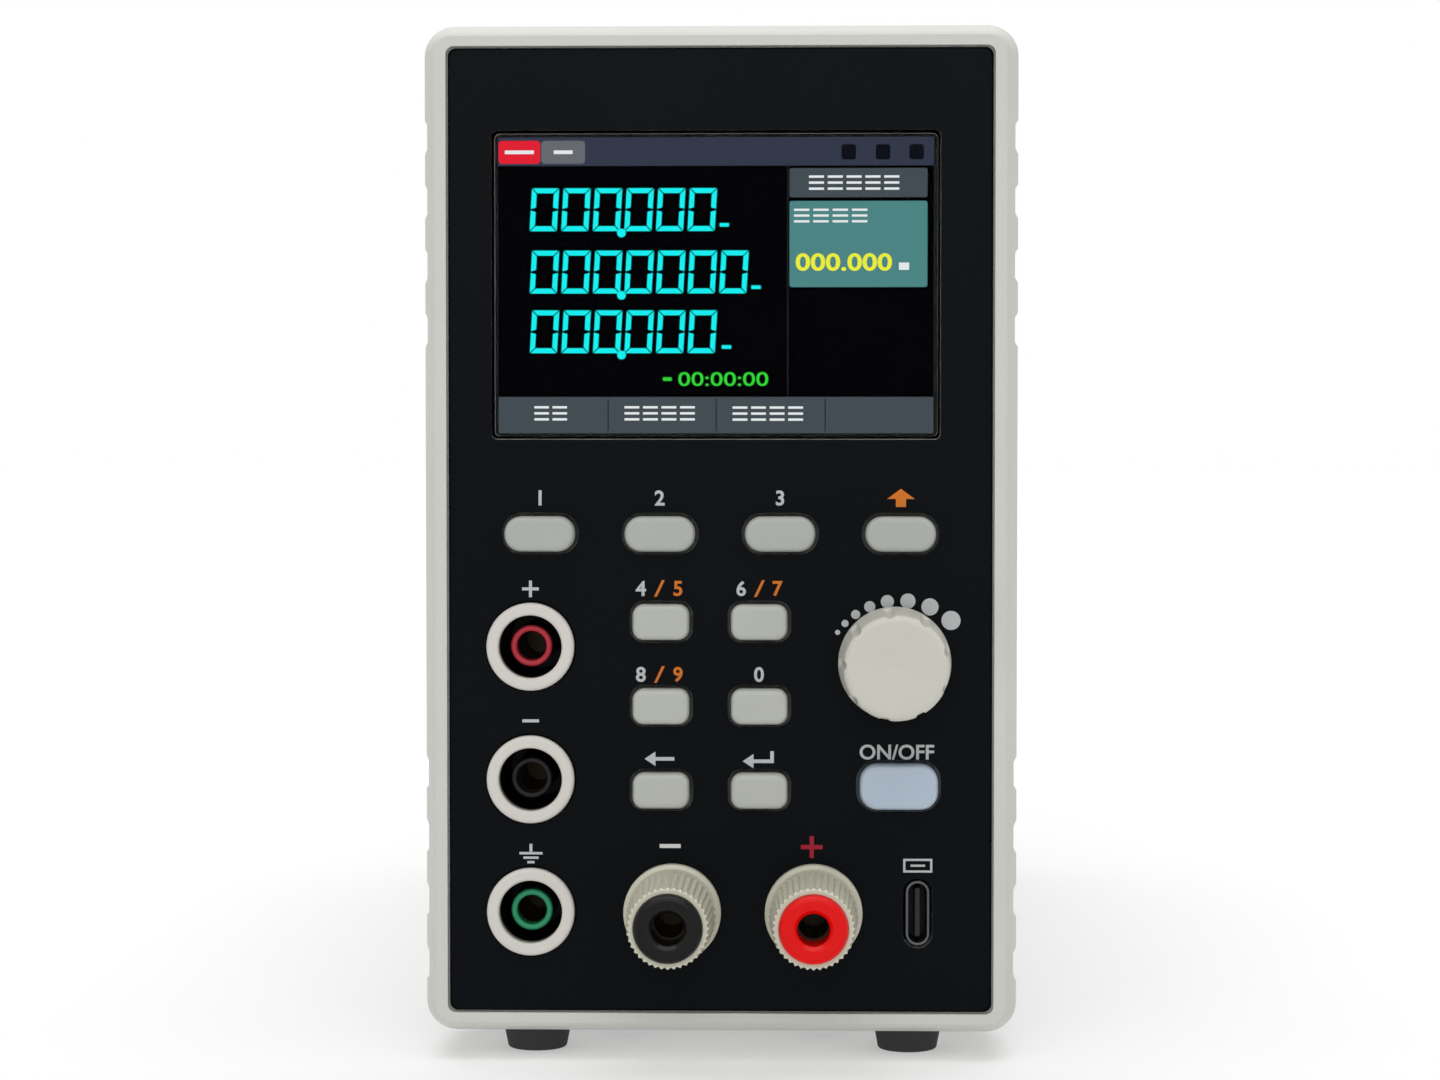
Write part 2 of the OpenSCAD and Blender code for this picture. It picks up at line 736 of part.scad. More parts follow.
// Rear stack, going forward from the rear frame's face
rear_panel_v = rear_sink;
rear_back_v = rear_sink + rear_t;
inlet_v = rear_sink - inlet_flange_t;
fan_end_v = rear_back_v + fan_d;
fan_w = (panel_h - fan_room_h + panel_w - fan_room_w) / 2;
fan_z = panel_h / 2 - fan_top - fan_w / 2;
fan_duct_r = fan_w / 2 - fan_wall;
inlet_z = inlet_low - panel_h / 2;
rear_screw_x = panel_w / 2 - screw_head_r - loose_fit;
rear_screw_z = panel_h / 2 - screw_head_r - loose_fit;
fan_corner = fan_w / 2 - fan_hole_inset;
guard_v = rear_sink - guard_wire_r;
guard_step = (fan_duct_r - guard_ring_r) / (guard_rings - 1);
guard_eye_r = fan_screw_r + guard_wire_r + 2 * slip_fit;
rotor_v = rear_back_v + fan_base_t + fan_gap;
rotor_end_v = fan_end_v - fan_gap / 2;
drawer_v = inlet_v - drawer_proud;
rocker_v = inlet_v + rocker_sink;
plug_mid_z = inlet_z + plug_z;
FAN = [0, fan_z];
INLET = [0, inlet_z];
DRAWER = [0, inlet_z + drawer_z];
ROCKER = [0, inlet_z + rocker_z];

// Power stage, under and in front of the fan
sink_end_v = fan_end_v + sink_gap;
sink_u = body_d - sink_end_v - sink_d;
sink_w = panel_w - 2 * sink_side;
sink_h = fan_w - sink_drop;
sink_z = fan_z - sink_h / 2;
stage_top_z = sink_z - stage_gap;
stage_w = sink_w - 2 * loose_fit;
coil_z = core_h / 2;
transformer_u = sink_u + sink_d / 2;

frame_grey = [0.77, 0.77, 0.745];
sheet_black = [0.07, 0.075, 0.085];
key_grey = [0.75, 0.755, 0.735];
knob_cream = [0.8, 0.8, 0.75];
metal_grey = [0.7, 0.7, 0.71];
nickel = [0.78, 0.76, 0.7];

// Extrude a front view outline from depth u0 back to depth u1
module along_y(u0, u1) {
    translate([0, front_y + u1, mid_z])
        rotate([90, 0, 0])
            linear_extrude(height = u1 - u0)
                children();
}

// Extrude a side view outline, drawn in depth and height, from x0 to x1
module along_x(x0, x1) {
    translate([x0, front_y, mid_z])
        rotate([90, 0, 90])
            linear_extrude(height = x1 - x0)
                children();
}

// Extrude an outline drawn about a point of the panel
module along_y_at(at, u0, u1) {
    translate([at[0], 0, at[1]])
        along_y(u0, u1)
            children();
}

module bar(at, u0, u1, radius) {
    along_y_at(at, u0, u1)
        circle(r = radius);
}

// Revolve a profile of radius and outward height about a line through the panel
module turned(at) {
    translate([at[0], front_y, mid_z + at[1]])
        rotate([90, 0, 0])
            rotate_extrude()
                children();
}

// Stand a part on the panel, with its own Z pointing out of the face
module on_panel(at) {
    translate([at[0], front_y, mid_z + at[1]])
        rotate([90, 0, 0])
            children();
}

// Turn a part made for the front round to the rear face
module at_rear() {
    translate([0, 2 * front_y + body_d, 0])
        mirror([0, 1, 0])
            children();
}

function arc(middle, radius, from, to) = [
    for (i = [0:edge_steps])
        let (angle = from + (to - from) * i / edge_steps)
        [middle[0] + radius * cos(angle), middle[1] + radius * sin(angle)]
];

module corners(x, z) {
    for (side = [-1, 1], end = [-1, 1])
        translate([side * x, end * z])
            children();
}

module round_rect(size, radius) {
    square([size[0] - 2 * radius, size[1]], center = true);
    square([size[0], size[1] - 2 * radius], center = true);
    corners(size[0] / 2 - radius, size[1] / 2 - radius)
        circle(r = radius);
}

module slot(width, height) {
    square([width, height - width], center = true);
    for (end = [-1, 1])
        translate([0, end * (height - width) / 2])
            circle(r = width / 2);
}

module hexagon(across) {
    circle(r = across / 2 / cos(30), $fn = 6);
}

module screw(head_r, head_h, shank_r, length) {
    difference() {
        rotate_extrude()
            polygon(concat(
                [[0, -length], [shank_r, -length], [shank_r, 0], [head_r, 0]],
                arc([head_r - head_h / 2, head_h / 2], head_h / 2, 0, 90),
                [[0, head_h]]
            ));
        translate([0, 0, head_h / 3])
            linear_extrude(height = head_h)
                circle(r = shank_r - seat_gap, $fn = 6);
    }
}

module case_screw() {
    screw(screw_head_r, screw_head_h, screw_r, screw_len);
}

// Outlines shared by the frames, the panel sheet and the case
module rim_outline(inset) {
    round_rect([body_w - 2 * inset, body_h - 2 * inset], corner_r - inset, $fn = hull_fn);
}

module panel_outline(inset) {
    round_rect([panel_w - 2 * inset, panel_h - 2 * inset], panel_r);
}

module case_outline(inset) {
    round_rect([case_w - 2 * inset, case_h - 2 * inset], max(case_r - inset, panel_r));
}

module key_outline(key, grow) {
    round_rect([key[2][0] + 2 * grow, key[2][1] + 2 * grow], key[2][2] + grow);
}

module usb_outline(grow) {
    translate(USB)
        slot(usb_w + 2 * grow, usb_h + 2 * grow);
}

module panel_openings() {
    for (key = KEYS)
        translate([key[0], key[1]])
            key_outline(key, key_gap);
    for (at = JACKS)
        translate(at)
            circle(r = shroud_r + sheet_gap);
    for (at = POSTS)
        translate(at)
            circle(r = neck_r + loose_fit);
    translate(KNOB)
        circle(r = bushing_hole_r);
    usb_outline(usb_gap);
}

module window_outline(inset) {
    translate([screen_x, screen_z])
        round_rect([window_w - 2 * inset, window_h - 2 * inset], window_r);
}

module lcd_outline(grow) {
    translate([screen_x, screen_z])
        round_rect([lcd_w + 2 * grow, lcd_h + 2 * grow], lcd_r);
}

module frame_shell(depth) {
    hull() {
        along_y(0, slab) rim_outline(flare + rim_bevel);
        along_y(rim_bevel, rim_bevel + slab) rim_outline(flare);
        along_y(flare_d, depth - rim_bevel) rim_outline(0);
        along_y(depth - slab, depth) rim_outline(rim_bevel);
    }
}

module grip_notches() {
    reach = grip_slope * over / grip_depth + grip_slope;
    for (side = [-1, 1], top = [grip_upper_z, grip_lower_z], i = [0:grip_count - 1])
        along_y(-over, grip_run)
            translate([side * body_w / 2, top - i * grip_pitch])
                polygon([
                    [-side * grip_depth, -grip_floor / 2],
                    [side * over, -grip_floor / 2 - reach],
                    [side * over, grip_floor / 2 + reach],
                    [-side * grip_depth, grip_floor / 2]
                ]);
}

module foot_holes() {
    for (side = [-1, 1])
        translate([side * foot_x, front_y + foot_u, foot_h - over])
            cylinder(r = foot_stem_r + loose_fit, h = case_step + case_stop + 2 * over);
}

module under_screw_holes(depth) {
    for (side = [-1, 1])
        translate([side * under_screw_x, front_y + depth - case_lap / 2, foot_h - over])
            cylinder(r = screw_r + loose_fit, h = screw_len);
}

module front_bezel() {
    color(frame_grey)
        difference() {
            union() {
                difference() {
                    frame_shell(front_frame_d);
                    along_y(-over, wall_u) panel_outline(0);
                    along_y(wall_back_u, case_u + slab) case_outline(case_stop);
                    along_y(case_u, front_frame_d + over) case_outline(-loose_fit);
                    along_y(wall_u - over, wall_back_u + over) panel_openings();
                    grip_notches();
                }
                for (at = BOSSES)
                    bar(at, wall_back_u - slab, board_u, boss_r);
            }
            along_y(wall_u - over, wall_back_u + over) window_outline(window_margin / 2);
            along_y(wall_u + lcd_lip, wall_back_u + over) lcd_outline(seat_gap);
            for (at = BOSSES)
                bar(at, wall_back_u + over, board_u + over, screw_r + slip_fit);
            foot_holes();
            under_screw_holes(front_frame_d);
        }
}

module front_sheet() {
    color(sheet_black)
        difference() {
            hull() {
                along_y(sheet_sink, sheet_sink + slab)
                    panel_outline(sheet_gap + sheet_bevel, $fn = hull_fn);
                along_y(sheet_sink + sheet_bevel, wall_u)
                    panel_outline(sheet_gap, $fn = hull_fn);
            }
            along_y(sheet_sink - over, wall_u + over) panel_openings();
            along_y(sheet_sink - over, wall_u + over) window_outline(0);
        }
}

module display_window() {
    color([0.3, 0.35, 0.4, 0.4])
        along_y(sheet_sink, wall_u) window_outline(slip_fit);
}

module lcd_module() {
    color([0.12, 0.13, 0.15]) {
        along_y(lcd_u, lcd_u + lcd_t) lcd_outline(0);
        along_y(lcd_u + lcd_t - slab, board_u)
            translate([screen_x, screen_z - lcd_h / 2 + lcd_tail_z])
                square([lcd_tail_w, lcd_tail_t], center = true);
    }
}

module front_board() {
    color("darkgreen")
        along_y(board_u, board_u + board_t)
            difference() {
                square([board_w, board_h], center = true);
                for (at = JACKS)
                    translate(at)
                        circle(r = shroud_r + key_gap);
                for (at = POSTS)
                    translate(at)
                        circle(r = stud_r + board_margin);
                for (at = BOSSES)
                    translate(at)
                        circle(r = screw_r + loose_fit);
            }
}

module board_screws() {
    color(metal_grey)
        for (at = BOSSES)
            translate([at[0], front_y + board_u + board_t, mid_z + at[1]])
                rotate([-90, 0, 0])
                    case_screw();
}

module key_switches() {
    color("dimgray")
        for (key = KEYS)
            difference() {
                along_y_at(key, switch_u, board_u) square(switch_w, center = true);
                bar(key, switch_u - over, switch_u + switch_well, key_stem_r + slip_fit);
            }
}

// A key cap with a crowned face, a retaining lip behind the wall and a stem into its switch
module key_cap(key) {
    step = key_round / 3;
    translate([key[0], 0, key[1]]) {
        hull() {
            along_y(-key_front_w, -key_front_w + slab)
                key_outline(key, -key_round, $fn = hull_fn);
            along_y(-key_front_w + step / 2, -key_front_w + step)
                key_outline(key, -step, $fn = hull_fn);
            along_y(-key_front_w + key_round, key_lip_u)
                key_outline(key, 0, $fn = hull_fn);
        }
        along_y(key_lip_u, key_lip_u + key_lip_t) key_outline(key, key_lip);
        along_y(key_lip_u + key_lip_t - slab, stem_end_u) circle(r = key_stem_r);
    }
}

module key_f1() {
    color(key_grey) key_cap(long_key_at(0));
}

module key_f2() {
    color(key_grey) key_cap(long_key_at(1));
}

module key_f3() {
    color(key_grey) key_cap(long_key_at(2));
}

module key_shift() {
    color(key_grey) key_cap(long_key_at(3));
}

module key_upper_left() {
    color(key_grey) key_cap(small_key_at(0, 0));
}

module key_upper_right() {
    color(key_grey) key_cap(small_key_at(1, 0));
}

module key_middle_left() {
    color(key_grey) key_cap(small_key_at(0, 1));
}

module key_middle_right() {
    color(key_grey) key_cap(small_key_at(1, 1));
}

module key_escape() {
    color(key_grey) key_cap(small_key_at(0, 2));
}

module key_enter() {
    color(key_grey) key_cap(small_key_at(1, 2));
}

module key_on_off() {
    color([0.7, 0.77, 0.85]) key_cap(wide_key_at);
}

module encoder_body() {
    color(metal_grey)
        difference() {
            union() {
                along_y_at(KNOB, encoder_u, board_u) square([encoder_w, encoder_h], center = true);
                bar(KNOB, -bushing_w, encoder_u + slab, bushing_r);
            }
            bar(KNOB, -bushing_w - over, wiper_u, shaft_r + slip_fit);
            bar(KNOB, encoder_u + encoder_front_t, plunger_guide_u, wiper_r + loose_fit);
            bar(KNOB, plunger_guide_u - slab, plunger_well_u, plunger_r + slip_fit);
        }
}

module encoder_nut() {
    color(nickel)
        along_y_at(KNOB, -bushing_nut_t + sheet_sink, sheet_sink)
            difference() {
                hexagon(bushing_nut_af);
                circle(r = bushing_r + slip_fit);
            }
}

module encoder_plunger() {
    color("white") bar(KNOB, plunger_u, plunger_u + plunger_h, plunger_r);
}

// Outline of the shaft's flatted end, grown by a clearance
module shaft_outline(grow) {
    difference() {
        circle(r = shaft_r + grow);
        translate([-shaft_r - over, shaft_r - shaft_flat + grow])
            square([2 * (shaft_r + over), shaft_r]);
    }
}

module encoder_shaft() {
    color(metal_grey) {
        bar(KNOB, -knob_hollow_w, shaft_end_u, shaft_r);
        along_y_at(KNOB, -shaft_front_w + seat_gap, -knob_hollow_w + slab) shaft_outline(0);
        bar(KNOB, wiper_u, shaft_end_u, wiper_r);
    }
}

module knob_notch() {
    lean = atan((knob_base_r - knob_front_r) / (knob_h - knob_edge));
    run = (knob_h - knob_skirt) / cos(lean);
    translate([knob_front_r + knob_notch_r - knob_notch_d, 0, knob_front_w])
        rotate([0, 180 - lean, 0])
            translate([0, 0, -over]) {
                cylinder(r = knob_notch_r, h = run + over);
                translate([0, 0, run + over])
                    sphere(r = knob_notch_r);
            }
}

module knob() {
    color(knob_cream)
        difference() {
            turned(KNOB)
                polygon(concat(
                    [[0, knob_w], [knob_base_r - knob_dish, knob_w], [knob_base_r, knob_w + knob_dish]],
                    arc([knob_front_r - knob_edge, knob_front_w - knob_edge], knob_edge, 0, 90),
                    [[0, knob_front_w - knob_dish]]
                ));
            bar(KNOB, -knob_hollow_w, -knob_w + over, knob_hollow_r);
            along_y_at(KNOB, -shaft_front_w, -knob_hollow_w + over) shaft_outline(slip_fit);
            on_panel(KNOB)
                for (i = [0:knob_notches - 1])
                    rotate([0, 0, knob_notch_a + i * 360 / knob_notches])
                        knob_notch();
        }
}

module jack_shrouds() {
    wall = shroud_r - shroud_bore_r;
    color("white")
        for (at = JACKS)
            turned(at)
                polygon(concat(
                    [
                        [tail_r + loose_fit, -jack_d - jack_floor_t],
                        [shroud_r, -jack_d - jack_floor_t],
                        [shroud_r, -wall_back_u - shroud_flange_t],
                        [shroud_flange_r, -wall_back_u - shroud_flange_t],
                        [shroud_flange_r, -wall_back_u],
                        [shroud_r, -wall_back_u]
                    ],
                    arc([shroud_r - shroud_round, shroud_front_w - shroud_round], shroud_round, 0, 90),
                    [
                        [shroud_r - wall + seat_gap, shroud_front_w],
                        [shroud_bore_r, shroud_front_w - seat_gap],
                        [shroud_bore_r, -jack_d],
                        [tail_r + loose_fit, -jack_d]
                    ]
                ));
}

module jack_sleeve(at) {
    turned(at)
        polygon([
            [contact_r + slip_fit, -jack_d],
            [sleeve_r, -jack_d],
            [sleeve_r, -sleeve_u - seat_gap],
            [sleeve_r - seat_gap, -sleeve_u],
            [sleeve_lip_r + seat_gap, -sleeve_u],
            [sleeve_lip_r, -sleeve_u - seat_gap],
            [sleeve_lip_r, -sleeve_u - sleeve_lip],
            [contact_r + slip_fit, -sleeve_u - sleeve_lip]
        ]);
}

module jack_sleeve_red() {
    color([0.7, 0.18, 0.25]) jack_sleeve(JACKS[0]);
}

module jack_sleeve_black() {
    color([0.08, 0.08, 0.08]) jack_sleeve(JACKS[1]);
}

module jack_sleeve_green() {
    color([0.17, 0.47, 0.3]) jack_sleeve(JACKS[2]);
}

module jack_contacts() {
    color("gold")
        for (at = JACKS)
            turned(at)
                polygon([
                    [0, -jack_d - tail_h],
                    [tail_r, -jack_d - tail_h],
                    [tail_r, -jack_d],
                    [contact_r, -jack_d],
                    [contact_r, -contact_u],
                    [socket_r, -contact_u],
                    [socket_r, -jack_d + contact_floor],
                    [0, -jack_d + contact_floor]
                ]);
}

module post_bases() {
    color(knob_cream)
        for (at = POSTS)
            turned(at)
                polygon([
                    [stud_bore_r, -wall_back_u + seat_gap],
                    [neck_r, -wall_back_u + seat_gap],
                    [neck_r, -sheet_sink],
                    [base_r, -sheet_sink],
                    [base_r, post_w0 - base_chamfer],
                    [base_r - base_chamfer, post_w0],
                    [stud_bore_r, post_w0]
                ]);
}

module post_studs() {
    color("gold")
        for (at = POSTS)
            turned(at)
                polygon([
                    [0, -stud_d],
                    [stud_r - seat_gap, -stud_d],
                    [stud_r, -stud_d + seat_gap],
                    [stud_r, post_w0],
                    [shoulder_r, post_w0],
                    [shoulder_r, collar_w],
                    [stud_r, collar_w],
                    [stud_r, stud_front_w - seat_gap],
                    [stud_r - seat_gap, stud_front_w],
                    [socket_r, stud_front_w],
                    [socket_r, -socket_end_u],
                    [0, -socket_end_u]
                ]);
}

module stud_nut(at, u) {
    along_y_at(at, u, u + stud_nut_t)
        difference() {
            hexagon(stud_nut_af);
            circle(r = stud_bore_r);
        }
}

module post_nuts() {
    color(metal_grey)
        for (at = POSTS) {
            stud_nut(at, wall_back_u);
            stud_nut(at, lug_u - stud_nut_t);
            stud_nut(at, lug_u + lug_t);
        }
}

module clamp_collar(at) {
    turned(at)
        translate([stud_bore_r, collar_w])
            square([collar_r - stud_bore_r, collar_t]);
}

module minus_collar() {
    color(nickel) clamp_collar(POSTS[0]);
}

module plus_collar() {
    color(nickel) clamp_collar(POSTS[1]);
}

function knurl(teeth, tip, root) = [
    for (i = [0:2 * teeth - 1])
        let (angle = 180 * i / teeth, radius = i % 2 == 0 ? tip : root)
        [radius * cos(angle), radius * sin(angle)]
];

// Knurled cap, bored for the stud and counterbored for its coloured core
module post_cap(at) {
    difference() {
        intersection() {
            on_panel(at)
                translate([0, 0, cap_w])
                    linear_extrude(height = cap_h, scale = cap_front_r / cap_back_r)
                        polygon(knurl(cap_teeth, cap_back_r, cap_back_r - cap_knurl));
            turned(at)
                polygon([
                    [0, cap_w],
                    [cap_back_r - cap_chamfer, cap_w],
                    [cap_back_r, cap_w + cap_chamfer],
                    [cap_back_r, cap_front_w - cap_back_r + cap_front_r - cap_chamfer],
                    [cap_front_r - cap_chamfer, cap_front_w],
                    [0, cap_front_w]
                ]);
        }
        on_panel(at) {
            translate([0, 0, cap_w - over])
                cylinder(r = stud_bore_r, h = cap_h + 2 * over);
            translate([0, 0, core_back_w])
                cylinder(r = core_r + slip_fit, h = core_seat + over);
        }
    }
}

module minus_cap() {
    color(knob_cream) post_cap(POSTS[0]);
}

module plus_cap() {
    color(knob_cream) post_cap(POSTS[1]);
}

module post_core(at) {
    turned(at)
        polygon(concat(
            [[core_hole_r, core_back_w], [core_r, core_back_w]],
            arc([core_r - core_edge, core_front_w - core_edge], core_edge, 0, 90),
            [[core_hole_r + core_lead, core_front_w], [core_hole_r, core_front_w - core_lead]]
        ));
}

module minus_core() {
    color([0.06, 0.06, 0.06]) post_core(POSTS[0]);
}

module plus_core() {
    color([0.88, 0.02, 0.02]) post_core(POSTS[1]);
}

// Quarter bend of a lead
module lead_elbow() {
    rotate_extrude(angle = 90)
        translate([lead_bend, 0])
            circle(r = lead_r);
}

// Ring lug on a stud, and the lead that runs back to the power board
module power_lead(at) {
    lug_mid_u = lug_u + lug_t / 2;
    rise_z = mid_z + at[1] + lug_h;
    run_z = rise_z + barrel_h + lead_bend;
    run_u = lug_mid_u + lead_bend;
    end_u = sink_u - stage_front / 2;
    end_z = mid_z + stage_top_z - stage_t;
    along_y_at(at, lug_u, lug_u + lug_t)
        difference() {
            union() {
                circle(r = lug_r);
                translate([-lead_r, 0])
                    square([2 * lead_r, lug_h]);
            }
            circle(r = stud_bore_r);
        }
    translate([at[0], front_y + lug_mid_u, rise_z])
        cylinder(r = lead_r, h = barrel_h);
    translate([at[0], front_y + run_u, rise_z + barrel_h])
        rotate([90, 0, -90])
            lead_elbow();
    translate([at[0], front_y + run_u, run_z])
        rotate([-90, 0, 0])
            cylinder(r = lead_r, h = end_u - lead_bend - run_u);
    translate([at[0], front_y + end_u - lead_bend, run_z + lead_bend])
        rotate([-90, 0, 90])
            lead_elbow();
    translate([at[0], front_y + end_u, run_z + lead_bend])
        cylinder(r = lead_r, h = end_z - run_z - lead_bend);
}

module minus_lead() {
    color([0.1, 0.1, 0.1]) power_lead(POSTS[0]);
}

module plus_lead() {
    color([0.8, 0.1, 0.1]) power_lead(POSTS[1]);
}

module usb_shell() {
    color(metal_grey)
        difference() {
            along_y(usb_u, board_u) usb_outline(0);
            along_y(usb_u - over, board_u - usb_wall) usb_outline(-usb_wall);
        }
}

module usb_tongue() {
    tongue_u = usb_u + usb_tongue_sink;
    base_u = tongue_u + usb_tongue_d;
    color([0.1, 0.1, 0.1]) {
        along_y_at(USB, tongue_u, base_u + slab)
            square([usb_tongue_w, usb_tongue_h], center = true);
        along_y(base_u, board_u - usb_wall) usb_outline(-usb_wall - slip_fit);
    }
}

module rear_bezel() {
    color(frame_grey)
        at_rear()
            difference() {
                frame_shell(rear_frame_d);
                along_y(-over, rear_back_v) panel_outline(0);
                along_y(-over, rear_back_v + ledge_t + over) panel_outline(ledge_w);
                along_y(rear_back_v + ledge_t, rear_frame_d - case_lap + slab)
                    case_outline(case_stop);
                along_y(rear_frame_d - case_lap, rear_frame_d + over) case_outline(-loose_fit);
                along_y(rear_back_v - over, rear_back_v + screw_len)
                    corners(rear_screw_x, rear_screw_z)
                        circle(r = screw_r + slip_fit);
                grip_notches();
                foot_holes();
                under_screw_holes(rear_frame_d);
            }
}

module chassis_tray() {
    tray_base_z = case_z - mid_z;
    color("silver")
        difference() {
            along_y(case_u, case_back_u)
                union() {
                    translate([-tray_w / 2, tray_base_z])
                        square([tray_w, metal_t]);
                    for (side = [-1, 1])
                        translate([side * (tray_w - metal_t) / 2 - metal_t / 2, tray_base_z])
                            square([metal_t, metal_t + tray_flange_h]);
                }
            side_screw_holes();
            under_screw_holes(front_frame_d);
            at_rear() under_screw_holes(rear_frame_d);
            at_rear() foot_holes();
        }
}

module side_screw_holes() {
    for (u = side_screw_us)
        along_x(-body_w / 2, body_w / 2)
            translate([u, case_z + side_screw_z - mid_z])
                circle(r = screw_r + loose_fit);
}

module vent_slots() {
    for (row = [-1, 1], i = [0:vent_count - 1])
        along_x(-body_w / 2, body_w / 2)
            translate([vent_u + i * vent_pitch, row * vent_z])
                slot(vent_w, vent_h);
}

module top_cover() {
    color("gainsboro")
        difference() {
            along_y(case_u, case_back_u)
                difference() {
                    case_outline(0);
                    round_rect([case_w - 2 * metal_t, case_h - 2 * metal_t], case_r - metal_t);
                    translate([-tray_w / 2 - loose_fit, -case_h / 2 - over])
                        square([tray_w + 2 * loose_fit, 2 * over + metal_t]);
                    translate([-case_w, -case_h / 2 - over])
                        square([2 * case_w, over + case_r]);
                }
            vent_slots();
            side_screw_holes();
        }
}

module rear_panel() {
    color("gray")
        at_rear()
            along_y(rear_panel_v, rear_back_v)
                difference() {
                    panel_outline(sheet_gap);
                    translate(FAN) {
                        circle(r = fan_duct_r);
                        corners(fan_corner, fan_corner) circle(r = fan_hole_r);
                    }
                    translate(INLET)
                        square([inlet_w + 2 * loose_fit, inlet_h + 2 * loose_fit], center = true);
                    corners(rear_screw_x, rear_screw_z)
                        circle(r = screw_r + loose_fit);
                }
}

module foot(at_y) {
    for (side = [-1, 1])
        translate([side * foot_x, at_y, 0])
            rotate_extrude()
                polygon(concat(
                    [[0, 0]],
                    arc([foot_tip_r - rim_bevel, rim_bevel], rim_bevel, -90, 0),
                    [
                        [foot_r, foot_h],
                        [foot_stem_r, foot_h],
                        [foot_stem_r, case_z + case_stop],
                        [0, case_z + case_stop]
                    ]
                ));
}

module feet() {
    color([0.06, 0.06, 0.06]) {
        foot(front_y + foot_u);
        foot(front_y + body_d - foot_u);
    }
}

module under_screws(depth) {
    for (side = [-1, 1])
        translate([side * under_screw_x, front_y + depth - case_lap / 2, foot_h])
            rotate([180, 0, 0])
                case_screw();
}

module case_screws() {
    color("silver") {
        for (side = [-1, 1], u = side_screw_us)
            translate([side * case_w / 2, front_y + u, case_z + side_screw_z])
                rotate([0, side * 90, 0])
                    case_screw();
        under_screws(front_frame_d);
        at_rear() under_screws(rear_frame_d);
        at_rear()
            on_panel([0, 0])
                corners(rear_screw_x, rear_screw_z)
                    translate([0, 0, -rear_panel_v])
                        case_screw();
    }
}

module fan_frame() {
    color([0.1, 0.1, 0.1])
        at_rear()
            difference() {
                union() {
                    along_y_at(FAN, rear_back_v, fan_end_v)
                        difference() {
                            round_rect([fan_w, fan_w], fan_corner_r);
                            circle(r = fan_duct_r);
                            corners(fan_corner, fan_corner) circle(r = fan_hole_r);
                        }
                    along_y_at(FAN, rear_back_v, rear_back_v + fan_base_t) {
                        circle(r = fan_hub_r);
                        for (i = [0:fan_struts - 1])
                            rotate(i * 360 / fan_struts)
                                translate([0, -fan_strut_w / 2])
                                    square([fan_duct_r + fan_wall / 2, fan_strut_w]);
                    }
                    bar(FAN, rear_back_v, rotor_end_v - fan_hub_wall - fan_gap / 2, fan_shaft_r + fan_bearing_wall);
                }
                bar(FAN, rear_back_v + fan_wall, fan_end_v, fan_shaft_r + slip_fit);
            }
}

module fan_rotor() {
    blade_r = fan_duct_r - fan_tip_gap;
    blade_h = rotor_end_v - rotor_v - 2 * fan_hub_wall;
    color([0.14, 0.14, 0.15])
        at_rear() {
            difference() {
                bar(FAN, rotor_v, rotor_end_v, fan_hub_r);
                bar(FAN, rotor_v - over, rotor_end_v - fan_hub_wall, fan_hub_r - fan_hub_wall);
            }
            bar(FAN, rear_back_v + fan_wall + seat_gap, rotor_end_v - slab, fan_shaft_r);
            on_panel(FAN)
                translate([0, 0, -rotor_end_v + fan_hub_wall])
                    linear_extrude(height = blade_h, twist = fan_twist, slices = 6, segments = 12)
                        for (i = [0:fan_blades - 1])
                            rotate(i * 360 / fan_blades)
                                translate([fan_hub_r - fan_hub_wall / 2, -fan_blade_t / 2])
                                    square([blade_r - fan_hub_r + fan_hub_wall / 2, fan_blade_t]);
        }
}

module fan_guard() {
    eye_at = fan_corner * sqrt(2);
    color("silver")
        at_rear()
            on_panel(FAN)
                translate([0, 0, -guard_v]) {
                    for (i = [0:guard_rings - 1])
                        rotate_extrude()
                            translate([guard_ring_r + i * guard_step, 0])
                                circle(r = guard_wire_r);
                    for (i = [0:3])
                        rotate([0, 0, 45 + i * 90]) {
                            translate([guard_ring_r, 0, 0])
                                rotate([0, 90, 0])
                                    cylinder(r = guard_wire_r, h = eye_at - guard_eye_r - guard_ring_r);
                            translate([eye_at, 0, 0])
                                rotate_extrude()
                                    translate([guard_eye_r, 0])
                                        circle(r = guard_wire_r);
                        }
                }
}

module fan_screws() {
    color("silver")
        at_rear()
            on_panel(FAN)
                translate([0, 0, -guard_v + guard_wire_r])
                    corners(fan_corner, fan_corner)
                        screw(fan_screw_head_r, fan_screw_head_h, fan_screw_r, fan_d);
}

module plug_outline() {
    half_w = plug_w / 2;
    half_h = plug_h / 2;
    translate([0, plug_mid_z])
        polygon([
            [-half_w, -half_h],
            [half_w, -half_h],
            [half_w, half_h - plug_corner],
            [half_w - plug_corner, half_h],
            [-half_w + plug_corner, half_h],
            [-half_w, half_h - plug_corner]
        ]);
}

PINS = [
    [-pin_pitch / 2, plug_mid_z - pin_z],
    [pin_pitch / 2, plug_mid_z - pin_z],
    [0, plug_mid_z + pin_z]
];

module pin_outline(grow) {
    for (at = PINS)
        translate(at)
            square([pin_w + 2 * grow, pin_h + 2 * grow], center = true);
}

